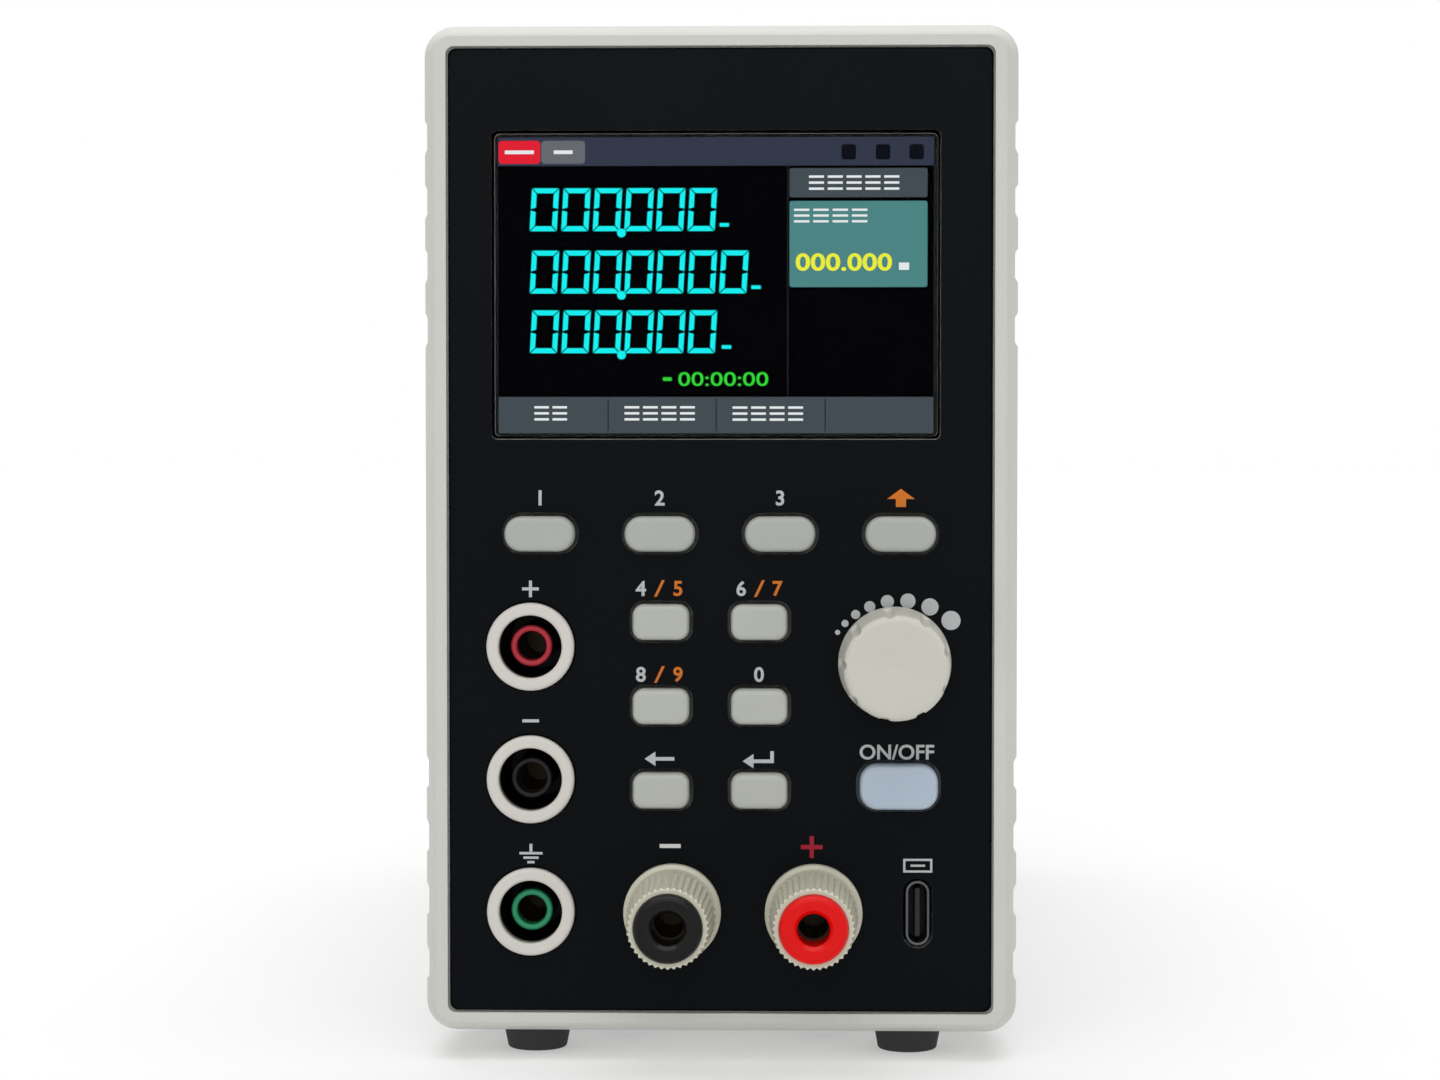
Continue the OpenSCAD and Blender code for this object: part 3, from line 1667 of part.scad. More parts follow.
module inlet_block() {
    flange_w = inlet_w + 2 * inlet_lip;
    flange_h = inlet_h + 2 * inlet_lip;
    color([0.08, 0.08, 0.08])
        at_rear()
            difference() {
                union() {
                    along_y_at(INLET, inlet_v, rear_panel_v)
                        round_rect([flange_w, flange_h], inlet_lip);
                    along_y_at(INLET, rear_panel_v - slab, rear_panel_v + inlet_d)
                        square([inlet_w, inlet_h], center = true);
                }
                along_y(inlet_v - over, inlet_v + plug_d) plug_outline();
                along_y(inlet_v, rear_panel_v + inlet_d + over) pin_outline(slip_fit);
                along_y_at(DRAWER, inlet_v - over, inlet_v + drawer_d + seat_gap)
                    square([drawer_w + 2 * loose_fit, drawer_h + 2 * loose_fit], center = true);
                along_y_at(ROCKER, inlet_v - over, inlet_v + rocker_well)
                    square([rocker_w + 2 * rocker_gap, rocker_h + 2 * loose_fit], center = true);
                translate([0, front_y + rocker_v, mid_z + ROCKER[1]])
                    cylinder(
                        r = rocker_pin_r + slip_fit,
                        h = rocker_h + 2 * rocker_pin_h + 2 * loose_fit,
                        center = true
                    );
            }
}

module inlet_pins() {
    color("silver")
        at_rear()
            along_y(inlet_v + pin_sink, rear_panel_v + inlet_d + pin_tab) pin_outline(0);
}

module fuse_drawer() {
    color([0.12, 0.12, 0.12])
        at_rear()
            difference() {
                along_y_at(DRAWER, drawer_v, inlet_v + drawer_d)
                    square([drawer_w, drawer_h], center = true);
                along_y_at(DRAWER, inlet_v + inlet_flange_t, inlet_v + drawer_d - inlet_flange_t)
                    translate([-trough_w / 2, -trough_w / 2])
                        square([trough_w, drawer_h + over]);
            }
}

// The rocker, shown tilted to its off stop, on pins that turn in the block
module power_rocker() {
    half_w = rocker_w / 2;
    color([0.1, 0.1, 0.1])
        at_rear()
            translate([0, front_y + rocker_v, mid_z + ROCKER[1]])
                rotate([0, 0, rocker_tilt]) {
                    translate([0, 0, -rocker_h / 2])
                        linear_extrude(height = rocker_h)
                            polygon([
                                [-half_w, -rocker_rise],
                                [0, -rocker_saddle],
                                [half_w, -rocker_rise],
                                [half_w, rocker_saddle],
                                [0, rocker_keel],
                                [-half_w, rocker_saddle]
                            ]);
                    cylinder(r = rocker_pin_r, h = rocker_h + 2 * rocker_pin_h, center = true);
                }
}

module heatsink() {
    fin_pitch = (sink_w - sink_fin_t) / (sink_fins - 1);
    color([0.55, 0.56, 0.58])
        along_y(sink_u, sink_u + sink_d)
            translate([-sink_w / 2, sink_z]) {
                square([sink_w, sink_base_t]);
                for (i = [0:sink_fins - 1])
                    translate([i * fin_pitch, 0])
                        square([sink_fin_t, sink_h]);
            }
}

module heatsink_brackets() {
    foot_z = tray_top_z - mid_z;
    top_z = sink_z + sink_base_t;
    color("silver")
        for (side = [0, 1])
            along_y(sink_u, sink_u + sink_d)
                mirror([side, 0])
                    translate([sink_w / 2, 0]) {
                        translate([0, foot_z])
                            square([bracket_t, top_z - foot_z]);
                        translate([-bracket_flange, foot_z])
                            square([bracket_flange + bracket_t, bracket_t]);
                        translate([-bracket_flange, stage_top_z - stage_t - bracket_t])
                            square([bracket_flange + bracket_t, bracket_t]);
                    }
}

module power_transistor(x, u) {
    body_z = mid_z + sink_z - fet_t;
    leg_z = body_z + fet_t / 2;
    board_z = mid_z + stage_top_z;
    translate([x - fet_w / 2, front_y + u, body_z])
        cube([fet_w, fet_l, fet_t]);
    for (i = [-1:1])
        translate([x + i * leg_pitch - leg_w / 2, front_y + u - leg_reach, 0]) {
            translate([0, 0, leg_z])
                cube([leg_w, leg_reach + slab, leg_t]);
            translate([0, 0, board_z])
                cube([leg_w, leg_t, leg_z + leg_t - board_z]);
        }
}

module power_transistors() {
    first_u = sink_u + (sink_d - fet_pitch - fet_l) / 2;
    color([0.1, 0.1, 0.1])
        for (side = [-1, 1], i = [0:1])
            power_transistor(side * fet_x, first_u + i * fet_pitch);
}

module power_board() {
    first_u = sink_u - stage_front;
    color("darkgreen") {
        along_y(first_u, sink_u + sink_d - stage_back)
            translate([-stage_w / 2, stage_top_z - stage_t])
                square([stage_w, stage_t]);
        for (i = [-1:1])
            translate([i * cap_can_pitch, front_y + sink_u - stage_front / 2, mid_z + stage_top_z - slab])
                rotate_extrude()
                    polygon(concat(
                        [[0, 0], [cap_can_r, 0]],
                        arc([cap_can_r - rim_bevel, cap_can_h - rim_bevel], rim_bevel, 0, 90),
                        [[0, cap_can_h]]
                    ));
    }
}

module transformer() {
    base_z = tray_top_z - mid_z;
    color([0.35, 0.33, 0.3]) {
        along_y(transformer_u - core_stack / 2, transformer_u + core_stack / 2)
            translate([-core_w / 2, base_z])
                square([core_w, core_h]);
        along_y(transformer_u - coil_l / 2, transformer_u + coil_l / 2)
            translate([0, base_z + coil_z])
                round_rect([coil_w, coil_h], coil_r);
        along_y(transformer_u - core_stack / 2 - core_foot, transformer_u + core_stack / 2 + core_foot)
            translate([-core_w / 2, base_z])
                square([core_w, core_foot_t]);
    }
}

front_bezel();
front_sheet();
display_window();
lcd_module();
front_board();
board_screws();
key_switches();
key_f1();
key_f2();
key_f3();
key_shift();
key_upper_left();
key_upper_right();
key_middle_left();
key_middle_right();
key_escape();
key_enter();
key_on_off();
encoder_body();
encoder_nut();
encoder_plunger();
encoder_shaft();
knob();
jack_shrouds();
jack_sleeve_red();
jack_sleeve_black();
jack_sleeve_green();
jack_contacts();
post_bases();
post_studs();
post_nuts();
minus_collar();
plus_collar();
minus_cap();
plus_cap();
minus_core();
plus_core();
minus_lead();
plus_lead();
usb_shell();
usb_tongue();
rear_bezel();
chassis_tray();
top_cover();
rear_panel();
feet();
case_screws();
fan_frame();
fan_rotor();
fan_guard();
fan_screws();
inlet_block();
inlet_pins();
fuse_drawer();
power_rocker();
heatsink();
heatsink_brackets();
power_transistors();
power_board();
transformer();
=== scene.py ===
import json
import logging
import math
from dataclasses import dataclass, field, replace
from enum import Enum
from functools import cache
from typing import ClassVar

import bmesh
import bpy
from mathutils import Matrix, Vector

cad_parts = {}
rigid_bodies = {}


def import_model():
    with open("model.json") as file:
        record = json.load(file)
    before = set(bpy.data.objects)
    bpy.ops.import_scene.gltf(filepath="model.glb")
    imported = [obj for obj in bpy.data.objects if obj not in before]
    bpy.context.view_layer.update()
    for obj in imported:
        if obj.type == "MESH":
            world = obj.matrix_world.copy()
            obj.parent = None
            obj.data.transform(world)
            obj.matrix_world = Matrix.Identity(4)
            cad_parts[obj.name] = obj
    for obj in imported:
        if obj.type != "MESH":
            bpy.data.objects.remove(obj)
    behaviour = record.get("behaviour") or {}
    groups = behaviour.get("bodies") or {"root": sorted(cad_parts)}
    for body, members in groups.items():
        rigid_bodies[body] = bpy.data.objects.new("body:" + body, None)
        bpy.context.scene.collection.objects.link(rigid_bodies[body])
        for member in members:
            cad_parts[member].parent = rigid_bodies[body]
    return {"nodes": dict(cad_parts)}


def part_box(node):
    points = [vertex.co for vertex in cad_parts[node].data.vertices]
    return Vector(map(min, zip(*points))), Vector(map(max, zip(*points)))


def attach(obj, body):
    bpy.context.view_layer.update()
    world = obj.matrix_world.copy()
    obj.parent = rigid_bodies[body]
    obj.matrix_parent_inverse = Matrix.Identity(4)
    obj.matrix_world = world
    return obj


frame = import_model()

log = logging.getLogger("electronic_load")
MM = 0.001
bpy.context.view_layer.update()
WHITE = (1, 1, 1, 1)
Point = tuple[float, float]
Triple = tuple[float, float, float]
Rgb = tuple[int, int, int]


def linear(rgb: Rgb) -> Triple:
    """Turn a colour as seen on a screen into linear light.

    Args:
        rgb: Red, green and blue from 0 to 255.

    Returns:
        The same colour in linear light from 0 to 1.
    """
    return tuple((c / 255 / 12.92) if c <= 10 else ((c / 255 + 0.055) / 1.055) ** 2.4 for c in rgb)


class Body(str, Enum):
    """Bodies of the frame that pieces of the scene ride on."""

    CASE = "case"
    ROCKER = "power_rocker"


class Socket(str, Enum):
    """Kinds of sockets on the node groups of this script."""

    NUMBER = "NodeSocketFloat"
    COUNT = "NodeSocketInt"
    VECTOR = "NodeSocketVector"
    COLOUR = "NodeSocketColor"
    MATERIAL = "NodeSocketMaterial"
    GEOMETRY = "NodeSocketGeometry"


@dataclass
class Wiring:
    """Short ways to place and join the nodes of a tree."""

    tree: bpy.types.NodeTree

    def join(self, value: object, socket: bpy.types.NodeSocket) -> None:
        """Link an output to an input, or set the input's value.

        Args:
            value: An output socket or a plain value.
            socket: The input.
        """
        if isinstance(value, bpy.types.NodeSocket):
            self.tree.links.new(value, socket)
        else:
            socket.default_value = value

    def fill(self, node: bpy.types.Node, sockets: dict[str, object]) -> None:
        """Join or set a node's inputs by name."""
        for label, value in sockets.items():
            self.join(value, node.inputs[label])

    def node(self, kind: str, **sockets: object) -> bpy.types.Node:
        """Place a node and fill its inputs, with _ for a space in a name.

        Args:
            kind: Blender's name for the node.
            sockets: Values or output sockets by input name.

        Returns:
            The node.
        """
        made = self.tree.nodes.new(kind)
        self.fill(made, {label.replace("_", " "): value for label, value in sockets.items()})
        return made

    def group(self, tree: bpy.types.NodeTree, sockets: dict[str, object]) -> bpy.types.Node:
        """Place a shader group and fill its inputs.

        Args:
            tree: The group.
            sockets: Values or output sockets by input name.

        Returns:
            The group's node.
        """
        made = self.tree.nodes.new("ShaderNodeGroup")
        made.node_tree = tree
        self.fill(made, sockets)
        return made

    def ordered(self, kind: str, *values: object, operation: str = "") -> bpy.types.Node:
        """Place a node and fill its inputs in their order.

        Args:
            kind: Blender's name for the node.
            values: Values or output sockets.
            operation: What the node works out, if it has a choice.

        Returns:
            The node.
        """
        made = self.tree.nodes.new(kind)
        if operation:
            made.operation = operation
        for value, socket in zip(values, made.inputs):
            self.join(value, socket)
        return made

    def maths(self, operation: str, *values: object, clamp: bool = False) -> bpy.types.NodeSocket:
        """Place a Math node.

        Args:
            operation: Blender's name for the operation.
            values: Output sockets or numbers.
            clamp: Whether the result stays between 0 and 1.

        Returns:
            The node's output.
        """
        made = self.ordered("ShaderNodeMath", *values, operation=operation)
        made.use_clamp = clamp
        return made.outputs[0]

    def vectors(self, operation: str, *values: object) -> bpy.types.Node:
        """Place a Vector Math node on sockets and return it."""
        return self.ordered("ShaderNodeVectorMath", *values, operation=operation)

    def scaled(self, vector: bpy.types.NodeSocket, scale: bpy.types.NodeSocket) -> bpy.types.NodeSocket:
        """Scale a vector or a colour.

        Args:
            vector: The vector or the colour.
            scale: The factor.

        Returns:
            The scaled vector.
        """
        made = self.vectors("SCALE", vector)
        self.join(scale, made.inputs["Scale"])
        return made.outputs[0]


class Group(Wiring):
    """A node group under construction, with named inputs and outputs."""

    def __init__(
        self, name: str, kind: str, inputs: dict[str, tuple[Socket, object]], outputs: dict[str, Socket]
    ) -> None:
        """Start a group.

        Args:
            name: Name of the group.
            kind: Blender's name for the kind of tree.
            inputs: Socket kind and default value by input name.
            outputs: Socket kind by output name.
        """
        super().__init__(bpy.data.node_groups.new(name, kind))
        sockets = self.tree.interface
        self.ids: dict[str, str] = {}
        for label, (socket_kind, value) in inputs.items():
            socket = sockets.new_socket(label, in_out="INPUT", socket_type=socket_kind.value)
            if value is not None:
                socket.default_value = value
            self.ids[label] = socket.identifier
        for label, socket_kind in outputs.items():
            sockets.new_socket(label, in_out="OUTPUT", socket_type=socket_kind.value)
        self.given = self.tree.nodes.new("NodeGroupInput").outputs
        self.out = self.tree.nodes.new("NodeGroupOutput")


class ShaderKit:
    """Shader node groups that several finishes share, each built once."""

    broad_scale = 70.0
    noise_detail = 3.0
    edge_samples = 4
    edge_highlight_gain = 5.0
    cell_line = 0.2

    @classmethod
    @cache
    def surface(cls) -> bpy.types.NodeTree:
        """Build the group for moulded, painted and metal surfaces: tone patches, grain, softened edges with a
        painted highlight along them, and painted shade deep inside a mouth.

        Returns:
            The group, the same one at each call.
        """
        inputs = {
            "Color": (Socket.COLOUR, (0.5, 0.5, 0.5, 1)),
            "Grain": (Socket.NUMBER, 2500.0),
            "Stretch": (Socket.VECTOR, (1, 1, 1)),
            "Patch": (Socket.NUMBER, 0.05),
            "Edge": (Socket.NUMBER, 0.1),
            "Edge Radius": (Socket.NUMBER, 0.0003),
            "Roughness": (Socket.NUMBER, 0.5),
            "Spread": (Socket.NUMBER, 0.05),
            "Mouth": (Socket.NUMBER, 0.0),
            "Shade": (Socket.NUMBER, 0.0),
        }
        outputs = {
            "Color": Socket.COLOUR,
            "Roughness": Socket.NUMBER,
            "Height": Socket.NUMBER,
            "Normal": Socket.VECTOR,
        }
        work = Group("surface_tone", "ShaderNodeTree", inputs, outputs)
        given, maths = work.given, work.maths
        place = work.node("ShaderNodeTexCoord").outputs["Object"]
        stretched = work.vectors("MULTIPLY", place, given["Stretch"]).outputs[0]
        fine, broad = (
            work.node("ShaderNodeTexNoise", Vector=where, Scale=scale, Detail=cls.noise_detail).outputs["Fac"]
            for where, scale in ((stretched, given["Grain"]), (place, cls.broad_scale))
        )
        bevel = work.node("ShaderNodeBevel", Radius=given["Edge Radius"])
        bevel.samples = cls.edge_samples
        normal = work.node("ShaderNodeNewGeometry").outputs["Normal"]
        turn = work.vectors("DOT_PRODUCT", bevel.outputs[0], normal).outputs["Value"]
        # Painted highlight: the colour brightens along rounded edges, by the Edge amount
        edge_highlight_mask = maths("MULTIPLY", maths("SUBTRACT", 1.0, turn), cls.edge_highlight_gain, clamp=True)
        uneven, speck = (maths("MULTIPLY", maths("SUBTRACT", noise, 0.5), 2.0) for noise in (broad, fine))
        patches, painted_edge_highlight = maths("MULTIPLY", uneven, given["Patch"]), maths("MULTIPLY", edge_highlight_mask, given["Edge"])
        tone = maths("ADD", patches, painted_edge_highlight)
        # Painted shade: deep inside a mouth the colour falls off to a dark well
        spot = work.node("ShaderNodeSeparateXYZ", Vector=place)
        past = maths("SUBTRACT", spot.outputs["Y"], given["Mouth"])
        painted_well_shade = maths("MULTIPLY", past, given["Shade"], clamp=True)
        lit = maths("MULTIPLY", maths("ADD", tone, 1.0), maths("SUBTRACT", 1.0, painted_well_shade))
        sheen = maths("MULTIPLY", speck, given["Spread"])
        work.fill(work.out, {
            "Color": work.scaled(given["Color"], lit),
            "Roughness": maths("ADD", sheen, given["Roughness"], clamp=True),
            "Height": fine,
            "Normal": bevel.outputs[0],
        })
        return work.tree

    @classmethod
    @cache
    def pixels(cls) -> bpy.types.NodeTree:
        """Build the group for lit areas of the display: a fine grid of cells over a colour.

        Returns:
            The group, the same one at each call.
        """
        inputs = {
            "Color": (Socket.COLOUR, WHITE),
            "Pitch": (Socket.NUMBER, 0.00019),
            "Gap": (Socket.NUMBER, 0.12),
        }
        work = Group("pixel_cells", "ShaderNodeTree", inputs, {"Color": Socket.COLOUR})
        given, pitch = work.given, work.given["Pitch"]
        spread = work.node("ShaderNodeCombineXYZ", X=pitch, Y=pitch, Z=pitch)
        place = work.node("ShaderNodeTexCoord").outputs["Object"]
        cell = work.vectors("DIVIDE", place, spread.outputs[0]).outputs[0]
        parts = work.node("ShaderNodeSeparateXYZ", Vector=cell).outputs
        across, up = (work.maths("PINGPONG", parts[axis], 0.5) for axis in ("X", "Z"))
        nearest, dim = work.maths("MINIMUM", across, up), work.maths("SUBTRACT", 1.0, given["Gap"])
        lit = work.node("ShaderNodeMapRange", Value=nearest, From_Max=cls.cell_line, To_Min=dim)
        work.fill(work.out, {"Color": work.scaled(given["Color"], lit.outputs["Result"])})
        return work.tree


@dataclass(frozen=True)
class Look:
    """A named material, built once."""

    name: str

    def material(self) -> bpy.types.Material:
        """Build the look as a material, once.

        Returns:
            The material of that name.
        """
        made = bpy.data.materials.get(self.name)
        if not made:
            made = bpy.data.materials.new(self.name)
            made.use_nodes = True
            self.dress(Wiring(made.node_tree), made.node_tree.nodes["Principled BSDF"])
        return made

    def dress(self, work: Wiring, shader: bpy.types.Node) -> None:
        """Wire the material's nodes to its shader."""


@dataclass(frozen=True)
class Finish(Look):
    """A surface finish, from its colour to the size of its grain."""

    rgb: Rgb
    roughness: float
    metallic: float = 0.0
    specular: float = 0.5
    subsurface: float = 0.0
    grain_mm: float = 0.4
    depth_mm: float = 0.002
    stretch: Triple = (1, 1, 1)
    patch: float = 0.05
    # edge_highlight: painted highlight, how much the colour brightens along rounded edges
    edge_highlight: float = 0.08
    edge_mm: float = 0.25
    spread: float = 0.06
    # mouth_node, mouth_lip_mm and shade_mm place painted shade that darkens the colour inside a mouth
    mouth_node: str = ""
    mouth_lip_mm: float = 0.3
    shade_mm: float = 0.0
    soak_mm: Triple = (1.2, 1.1, 0.8)

    def dress(self, work: Wiring, shader: bpy.types.Node) -> None:
        """Wire the surface group and its grain to the shader.

        Args:
            work: The material's wiring.
            shader: The material's shader.
        """
        values = {
            "Color": (*linear(self.rgb), 1),
            "Grain": 1 / (self.grain_mm * MM),
            "Stretch": self.stretch,
            "Patch": self.patch,
            "Edge": self.edge_highlight,
            "Edge Radius": self.edge_mm * MM,
            "Roughness": self.roughness,
            "Spread": self.spread,
        }
        if self.mouth_node:
            values["Mouth"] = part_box(self.mouth_node)[0].y + self.mouth_lip_mm * MM
            values["Shade"] = 1 / (self.shade_mm * MM)
        tone = work.group(ShaderKit.surface(), values).outputs
        depth = self.depth_mm * MM
        bump = work.node(
            "ShaderNodeBump", Strength=1.0, Distance=depth, Height=tone["Height"], Normal=tone["Normal"]
        )
        work.fill(shader, {
            "Base Color": tone["Color"],
            "Roughness": tone["Roughness"],
            "Normal": bump.outputs[0],
            "Metallic": self.metallic,
            "Specular IOR Level": self.specular,
        })
        if self.subsurface:
            work.fill(shader, {
                "Subsurface Weight": self.subsurface,
                "Subsurface Radius": tuple(r * MM for r in self.soak_mm),
                "Subsurface Scale": 1.0,
            })


@dataclass(frozen=True)
class Glow(Look):
    """A lit colour on the display."""

    rgb: Rgb
    roughness: float = 0.6

    def dress(self, work: Wiring, shader: bpy.types.Node) -> None:
        """Wire the lit cells to the shader of a black, dull surface.

        Args:
            work: The material's wiring.
            shader: The material's shader.
        """
        cells = work.group(ShaderKit.pixels(), {"Color": (*linear(self.rgb), 1)})
        work.fill(shader, {
            "Emission Color": cells.outputs["Color"],
            "Emission Strength": 1.0,
            "Base Color": (0, 0, 0, 1),
            "Specular IOR Level": 0.0,
            "Roughness": self.roughness,
        })


@dataclass(frozen=True)
class ClearSheet(Look):
    """The clear window over the display, with a faint haze of fine scratches."""

    name: str = "clear_window"
    ior: float = 1.06
    scratch_scale: float = 900.0
    scratch_stretch: Triple = (1, 1, 0.1)
    haze: float = 0.02

    def dress(self, work: Wiring, shader: bpy.types.Node) -> None:
        """Wire the surface group to the shader of a clear sheet.

        Args:
            work: The material's wiring.
            shader: The material's shader.
        """
        tone = work.group(ShaderKit.surface(), {
            "Color": WHITE,
            "Grain": self.scratch_scale,
            "Stretch": self.scratch_stretch,
            "Patch": 0.01,
            "Edge": 0.0,
            "Edge Radius": 0.0001,
            "Roughness": self.haze,
            "Spread": self.haze,
        }).outputs
        work.fill(shader, {
            "Base Color": tone["Color"],
            "Roughness": tone["Roughness"],
            "Transmission Weight": 1.0,
            "IOR": self.ior,
        })


def settle(name: str, mesh: bpy.types.Mesh, body: Body) -> None:
    """Put a finished mesh in the scene as a piece that rides on a body.

    Args:
        name: Name of the piece.
        mesh: Its finished mesh.
        body: The body that it rides on.
    """
    piece = bpy.data.objects.new(name, mesh)
    bpy.context.scene.collection.objects.link(piece)
    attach(piece, body.value)
    log.info("piece %s rides on %s, %d faces", name, body.value, len(mesh.polygons))


def make_piece(name: str, bm: bmesh.types.BMesh, look: Look, body: Body) -> None:
    """Turn gathered faces outward and make them one piece.

    Args:
        name: Name of the piece.
        bm: Its faces, freed afterwards.
        look: Its finish or its lit colour.
        body: The body that it rides on.
    """
    bmesh.ops.recalc_face_normals(bm, faces=bm.faces[:])
    mesh = bpy.data.meshes.new(name)
    bm.to_mesh(mesh)
    bm.free()
    mesh.materials.append(look.material())
    settle(name, mesh, body)


class Finishes:
    """The finishes of this load, by the piece that wears them."""

    frame = Finish(
        "frame_moulding", (202, 203, 196), 0.45, specular=0.2, grain_mm=0.22, depth_mm=0.003, patch=0.02,
        edge_highlight=0.1, edge_mm=0.2,
    )
    # The panel's light line along its edges is a painted highlight
    panel = Finish(
        "panel_sheet_black", (7, 9, 13), 0.28, specular=0.05, grain_mm=0.6, depth_mm=0.0006, patch=0.2,
        edge_highlight=3.0, edge_mm=0.15,
    )
    lcd = Finish("display_module_black", (8, 9, 11), 0.35, specular=0.1, patch=0.1)
    board = Finish("circuit_board_green", (22, 84, 48), 0.45, specular=0.4, grain_mm=1.5, patch=0.18)
    key = Finish(
        "key_grey", (178, 181, 174), 0.42, specular=0.3, grain_mm=0.15, patch=0.02, edge_highlight=0.04, edge_mm=0.45,
        subsurface=0.1,
    )
    # Painted shade: the long keys wear a darker copy of the key grey
    key_long_shaded = replace(key, name="key_grey_long_shaded", rgb=(170, 173, 168))
    key_blue = replace(
        key, name="key_pale_blue", rgb=(178, 192, 207), roughness=0.4, patch=0.03, edge_highlight=0.05, subsurface=0.2
    )
    knob = Finish(
        "knob_cream", (199, 198, 188), 0.45, specular=0.3, grain_mm=0.2, depth_mm=0.003, patch=0.03,
        edge_highlight=0.12, edge_mm=0.15, subsurface=0.05,
    )
    post = Finish(
        "post_cream", (200, 198, 180), 0.38, specular=0.35, grain_mm=0.3, edge_highlight=0.25, edge_mm=0.06,
        subsurface=0.05,
    )
    # Painted shade darkens the shroud inside the jack mouths
    shroud = Finish(
        "shroud_white", (207, 204, 197), 0.4, specular=0.3, grain_mm=0.2, patch=0.02, edge_highlight=0.04,
        mouth_node="jack_shrouds", shade_mm=2.4,
    )
    plunger = Finish("plunger_white", (214, 214, 208), 0.4, specular=0.4, patch=0.03)
    # Painted shade darkens each sleeve inside its mouth
    red_tube = Finish(
        "sleeve_red", (184, 46, 62), 0.3, specular=0.3, patch=0.06, edge_highlight=0.25,
        mouth_node="jack_sleeve_red", shade_mm=3.5,
    )
    black_tube = Finish(
        "sleeve_black", (20, 20, 21), 0.3, specular=0.2, edge_highlight=0.6,
        mouth_node="jack_sleeve_black", shade_mm=3.5,
    )
    green_tube = replace(red_tube, name="sleeve_green", rgb=(42, 150, 104), mouth_node="jack_sleeve_green")
    red_core = Finish("core_red", (222, 5, 4), 0.16, specular=0.16, edge_highlight=0.2, edge_mm=0.4)
    # The black core's light rim is a painted highlight
    black_core = replace(red_core, name="core_black", rgb=(15, 15, 15), edge_highlight=2.5)
    black = Finish(
        "moulded_black", (30, 30, 31), 0.5, specular=0.3, grain_mm=0.25, depth_mm=0.004, patch=0.12, edge_highlight=0.4
    )
    rubber = Finish(
        "foot_rubber", (32, 32, 33), 0.7, specular=0.3, grain_mm=0.3, depth_mm=0.01, patch=0.2,
        edge_highlight=0.4, edge_mm=0.4,
    )
    nickel = Finish(
        "nickel_plate", (196, 190, 178), 0.26, metallic=1.0, stretch=(1, 0.1, 1), patch=0.06, spread=0.1
    )
    data_shell = replace(nickel, name="data_socket_steel", rgb=(92, 94, 97), roughness=0.42)
    # Painted shade: the nickel is darkened to stand in for the shade deep in the jack and post bores
    socket = replace(
        nickel, name="socket_metal_painted_shade", rgb=(46, 40, 32), roughness=0.34, grain_mm=0.5, patch=0.08,
        spread=0.12,
    )
    zinc = Finish("zinc_plate", (186, 187, 190), 0.36, metallic=1.0, grain_mm=0.6, patch=0.1, spread=0.14)
    aluminium = Finish(
        "extruded_aluminium", (172, 174, 178), 0.38, metallic=1.0, grain_mm=0.5, stretch=(1, 0.03, 1),
        patch=0.06, spread=0.12,
    )
    paint = Finish(
        "case_powder_coat", (196, 197, 190), 0.55, specular=0.3, grain_mm=0.5, depth_mm=0.03, patch=0.03,
        edge_highlight=0.05, edge_mm=0.4,
    )
    core_iron = Finish(
        "core_lamination", (88, 84, 80), 0.5, metallic=0.7, grain_mm=0.5, stretch=(0.05, 1, 0.05),
        depth_mm=0.05, patch=0.15,
    )
    lead_black = Finish("lead_black", (26, 26, 27), 0.5, specular=0.4)
    lead_red = replace(lead_black, name="lead_red", rgb=(170, 22, 26))
    ink = Finish(
        "print_grey", (184, 187, 188), 0.55, specular=0.2, grain_mm=0.1, depth_mm=0.0005, patch=0.04,
        edge_highlight=0.0, edge_mm=0.02,
    )
    ink_white = replace(ink, name="print_white", rgb=(212, 212, 210), patch=0.03)
    ink_orange = replace(ink, name="print_orange", rgb=(204, 112, 34))
    ink_red = replace(ink, name="print_red", rgb=(160, 24, 46))
    floor = Finish(
        "studio_floor", (196, 196, 196), 0.8, specular=0.1, grain_mm=40, depth_mm=0.01, patch=0.004, edge_highlight=0.0
    )


class Glows:
    """The lit colours of the display."""

    black = Glow("glow_black", (1, 1, 2))
    slate = Glow("glow_slate", (52, 58, 75))
    grey = Glow("glow_grey", (68, 78, 84))
    dark = Glow("glow_dark", (34, 38, 44))
    red = Glow("glow_red", (226, 34, 52))
    mid_grey = Glow("glow_mid_grey", (104, 108, 114))
    teal = Glow("glow_teal", (78, 134, 134))
    white = Glow("glow_white", (232, 236, 238))
    ink = Glow("glow_ink", (14, 16, 24))
    cyan = Glow("glow_cyan", (24, 240, 240))
    yellow = Glow("glow_yellow", (236, 240, 60))
    green = Glow("glow_green", (52, 216, 56))


@dataclass(frozen=True)
class PanelSpace:
    """Turns places on the panel, in millimetres from its middle, into the frame's metres."""

    x: float
    z: float

    @classmethod
    def of_sheet(cls) -> "PanelSpace":
        """Find the panel's middle from the black sheet."""
        low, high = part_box("front_sheet")
        return cls((low.x + high.x) / 2, (low.z + high.z) / 2)

    def at(self, x: float, z: float, y: float) -> Vector:
        """Place a panel point at depth y, which is in metres."""
        return Vector((self.x + x * MM, y, self.z + z * MM))


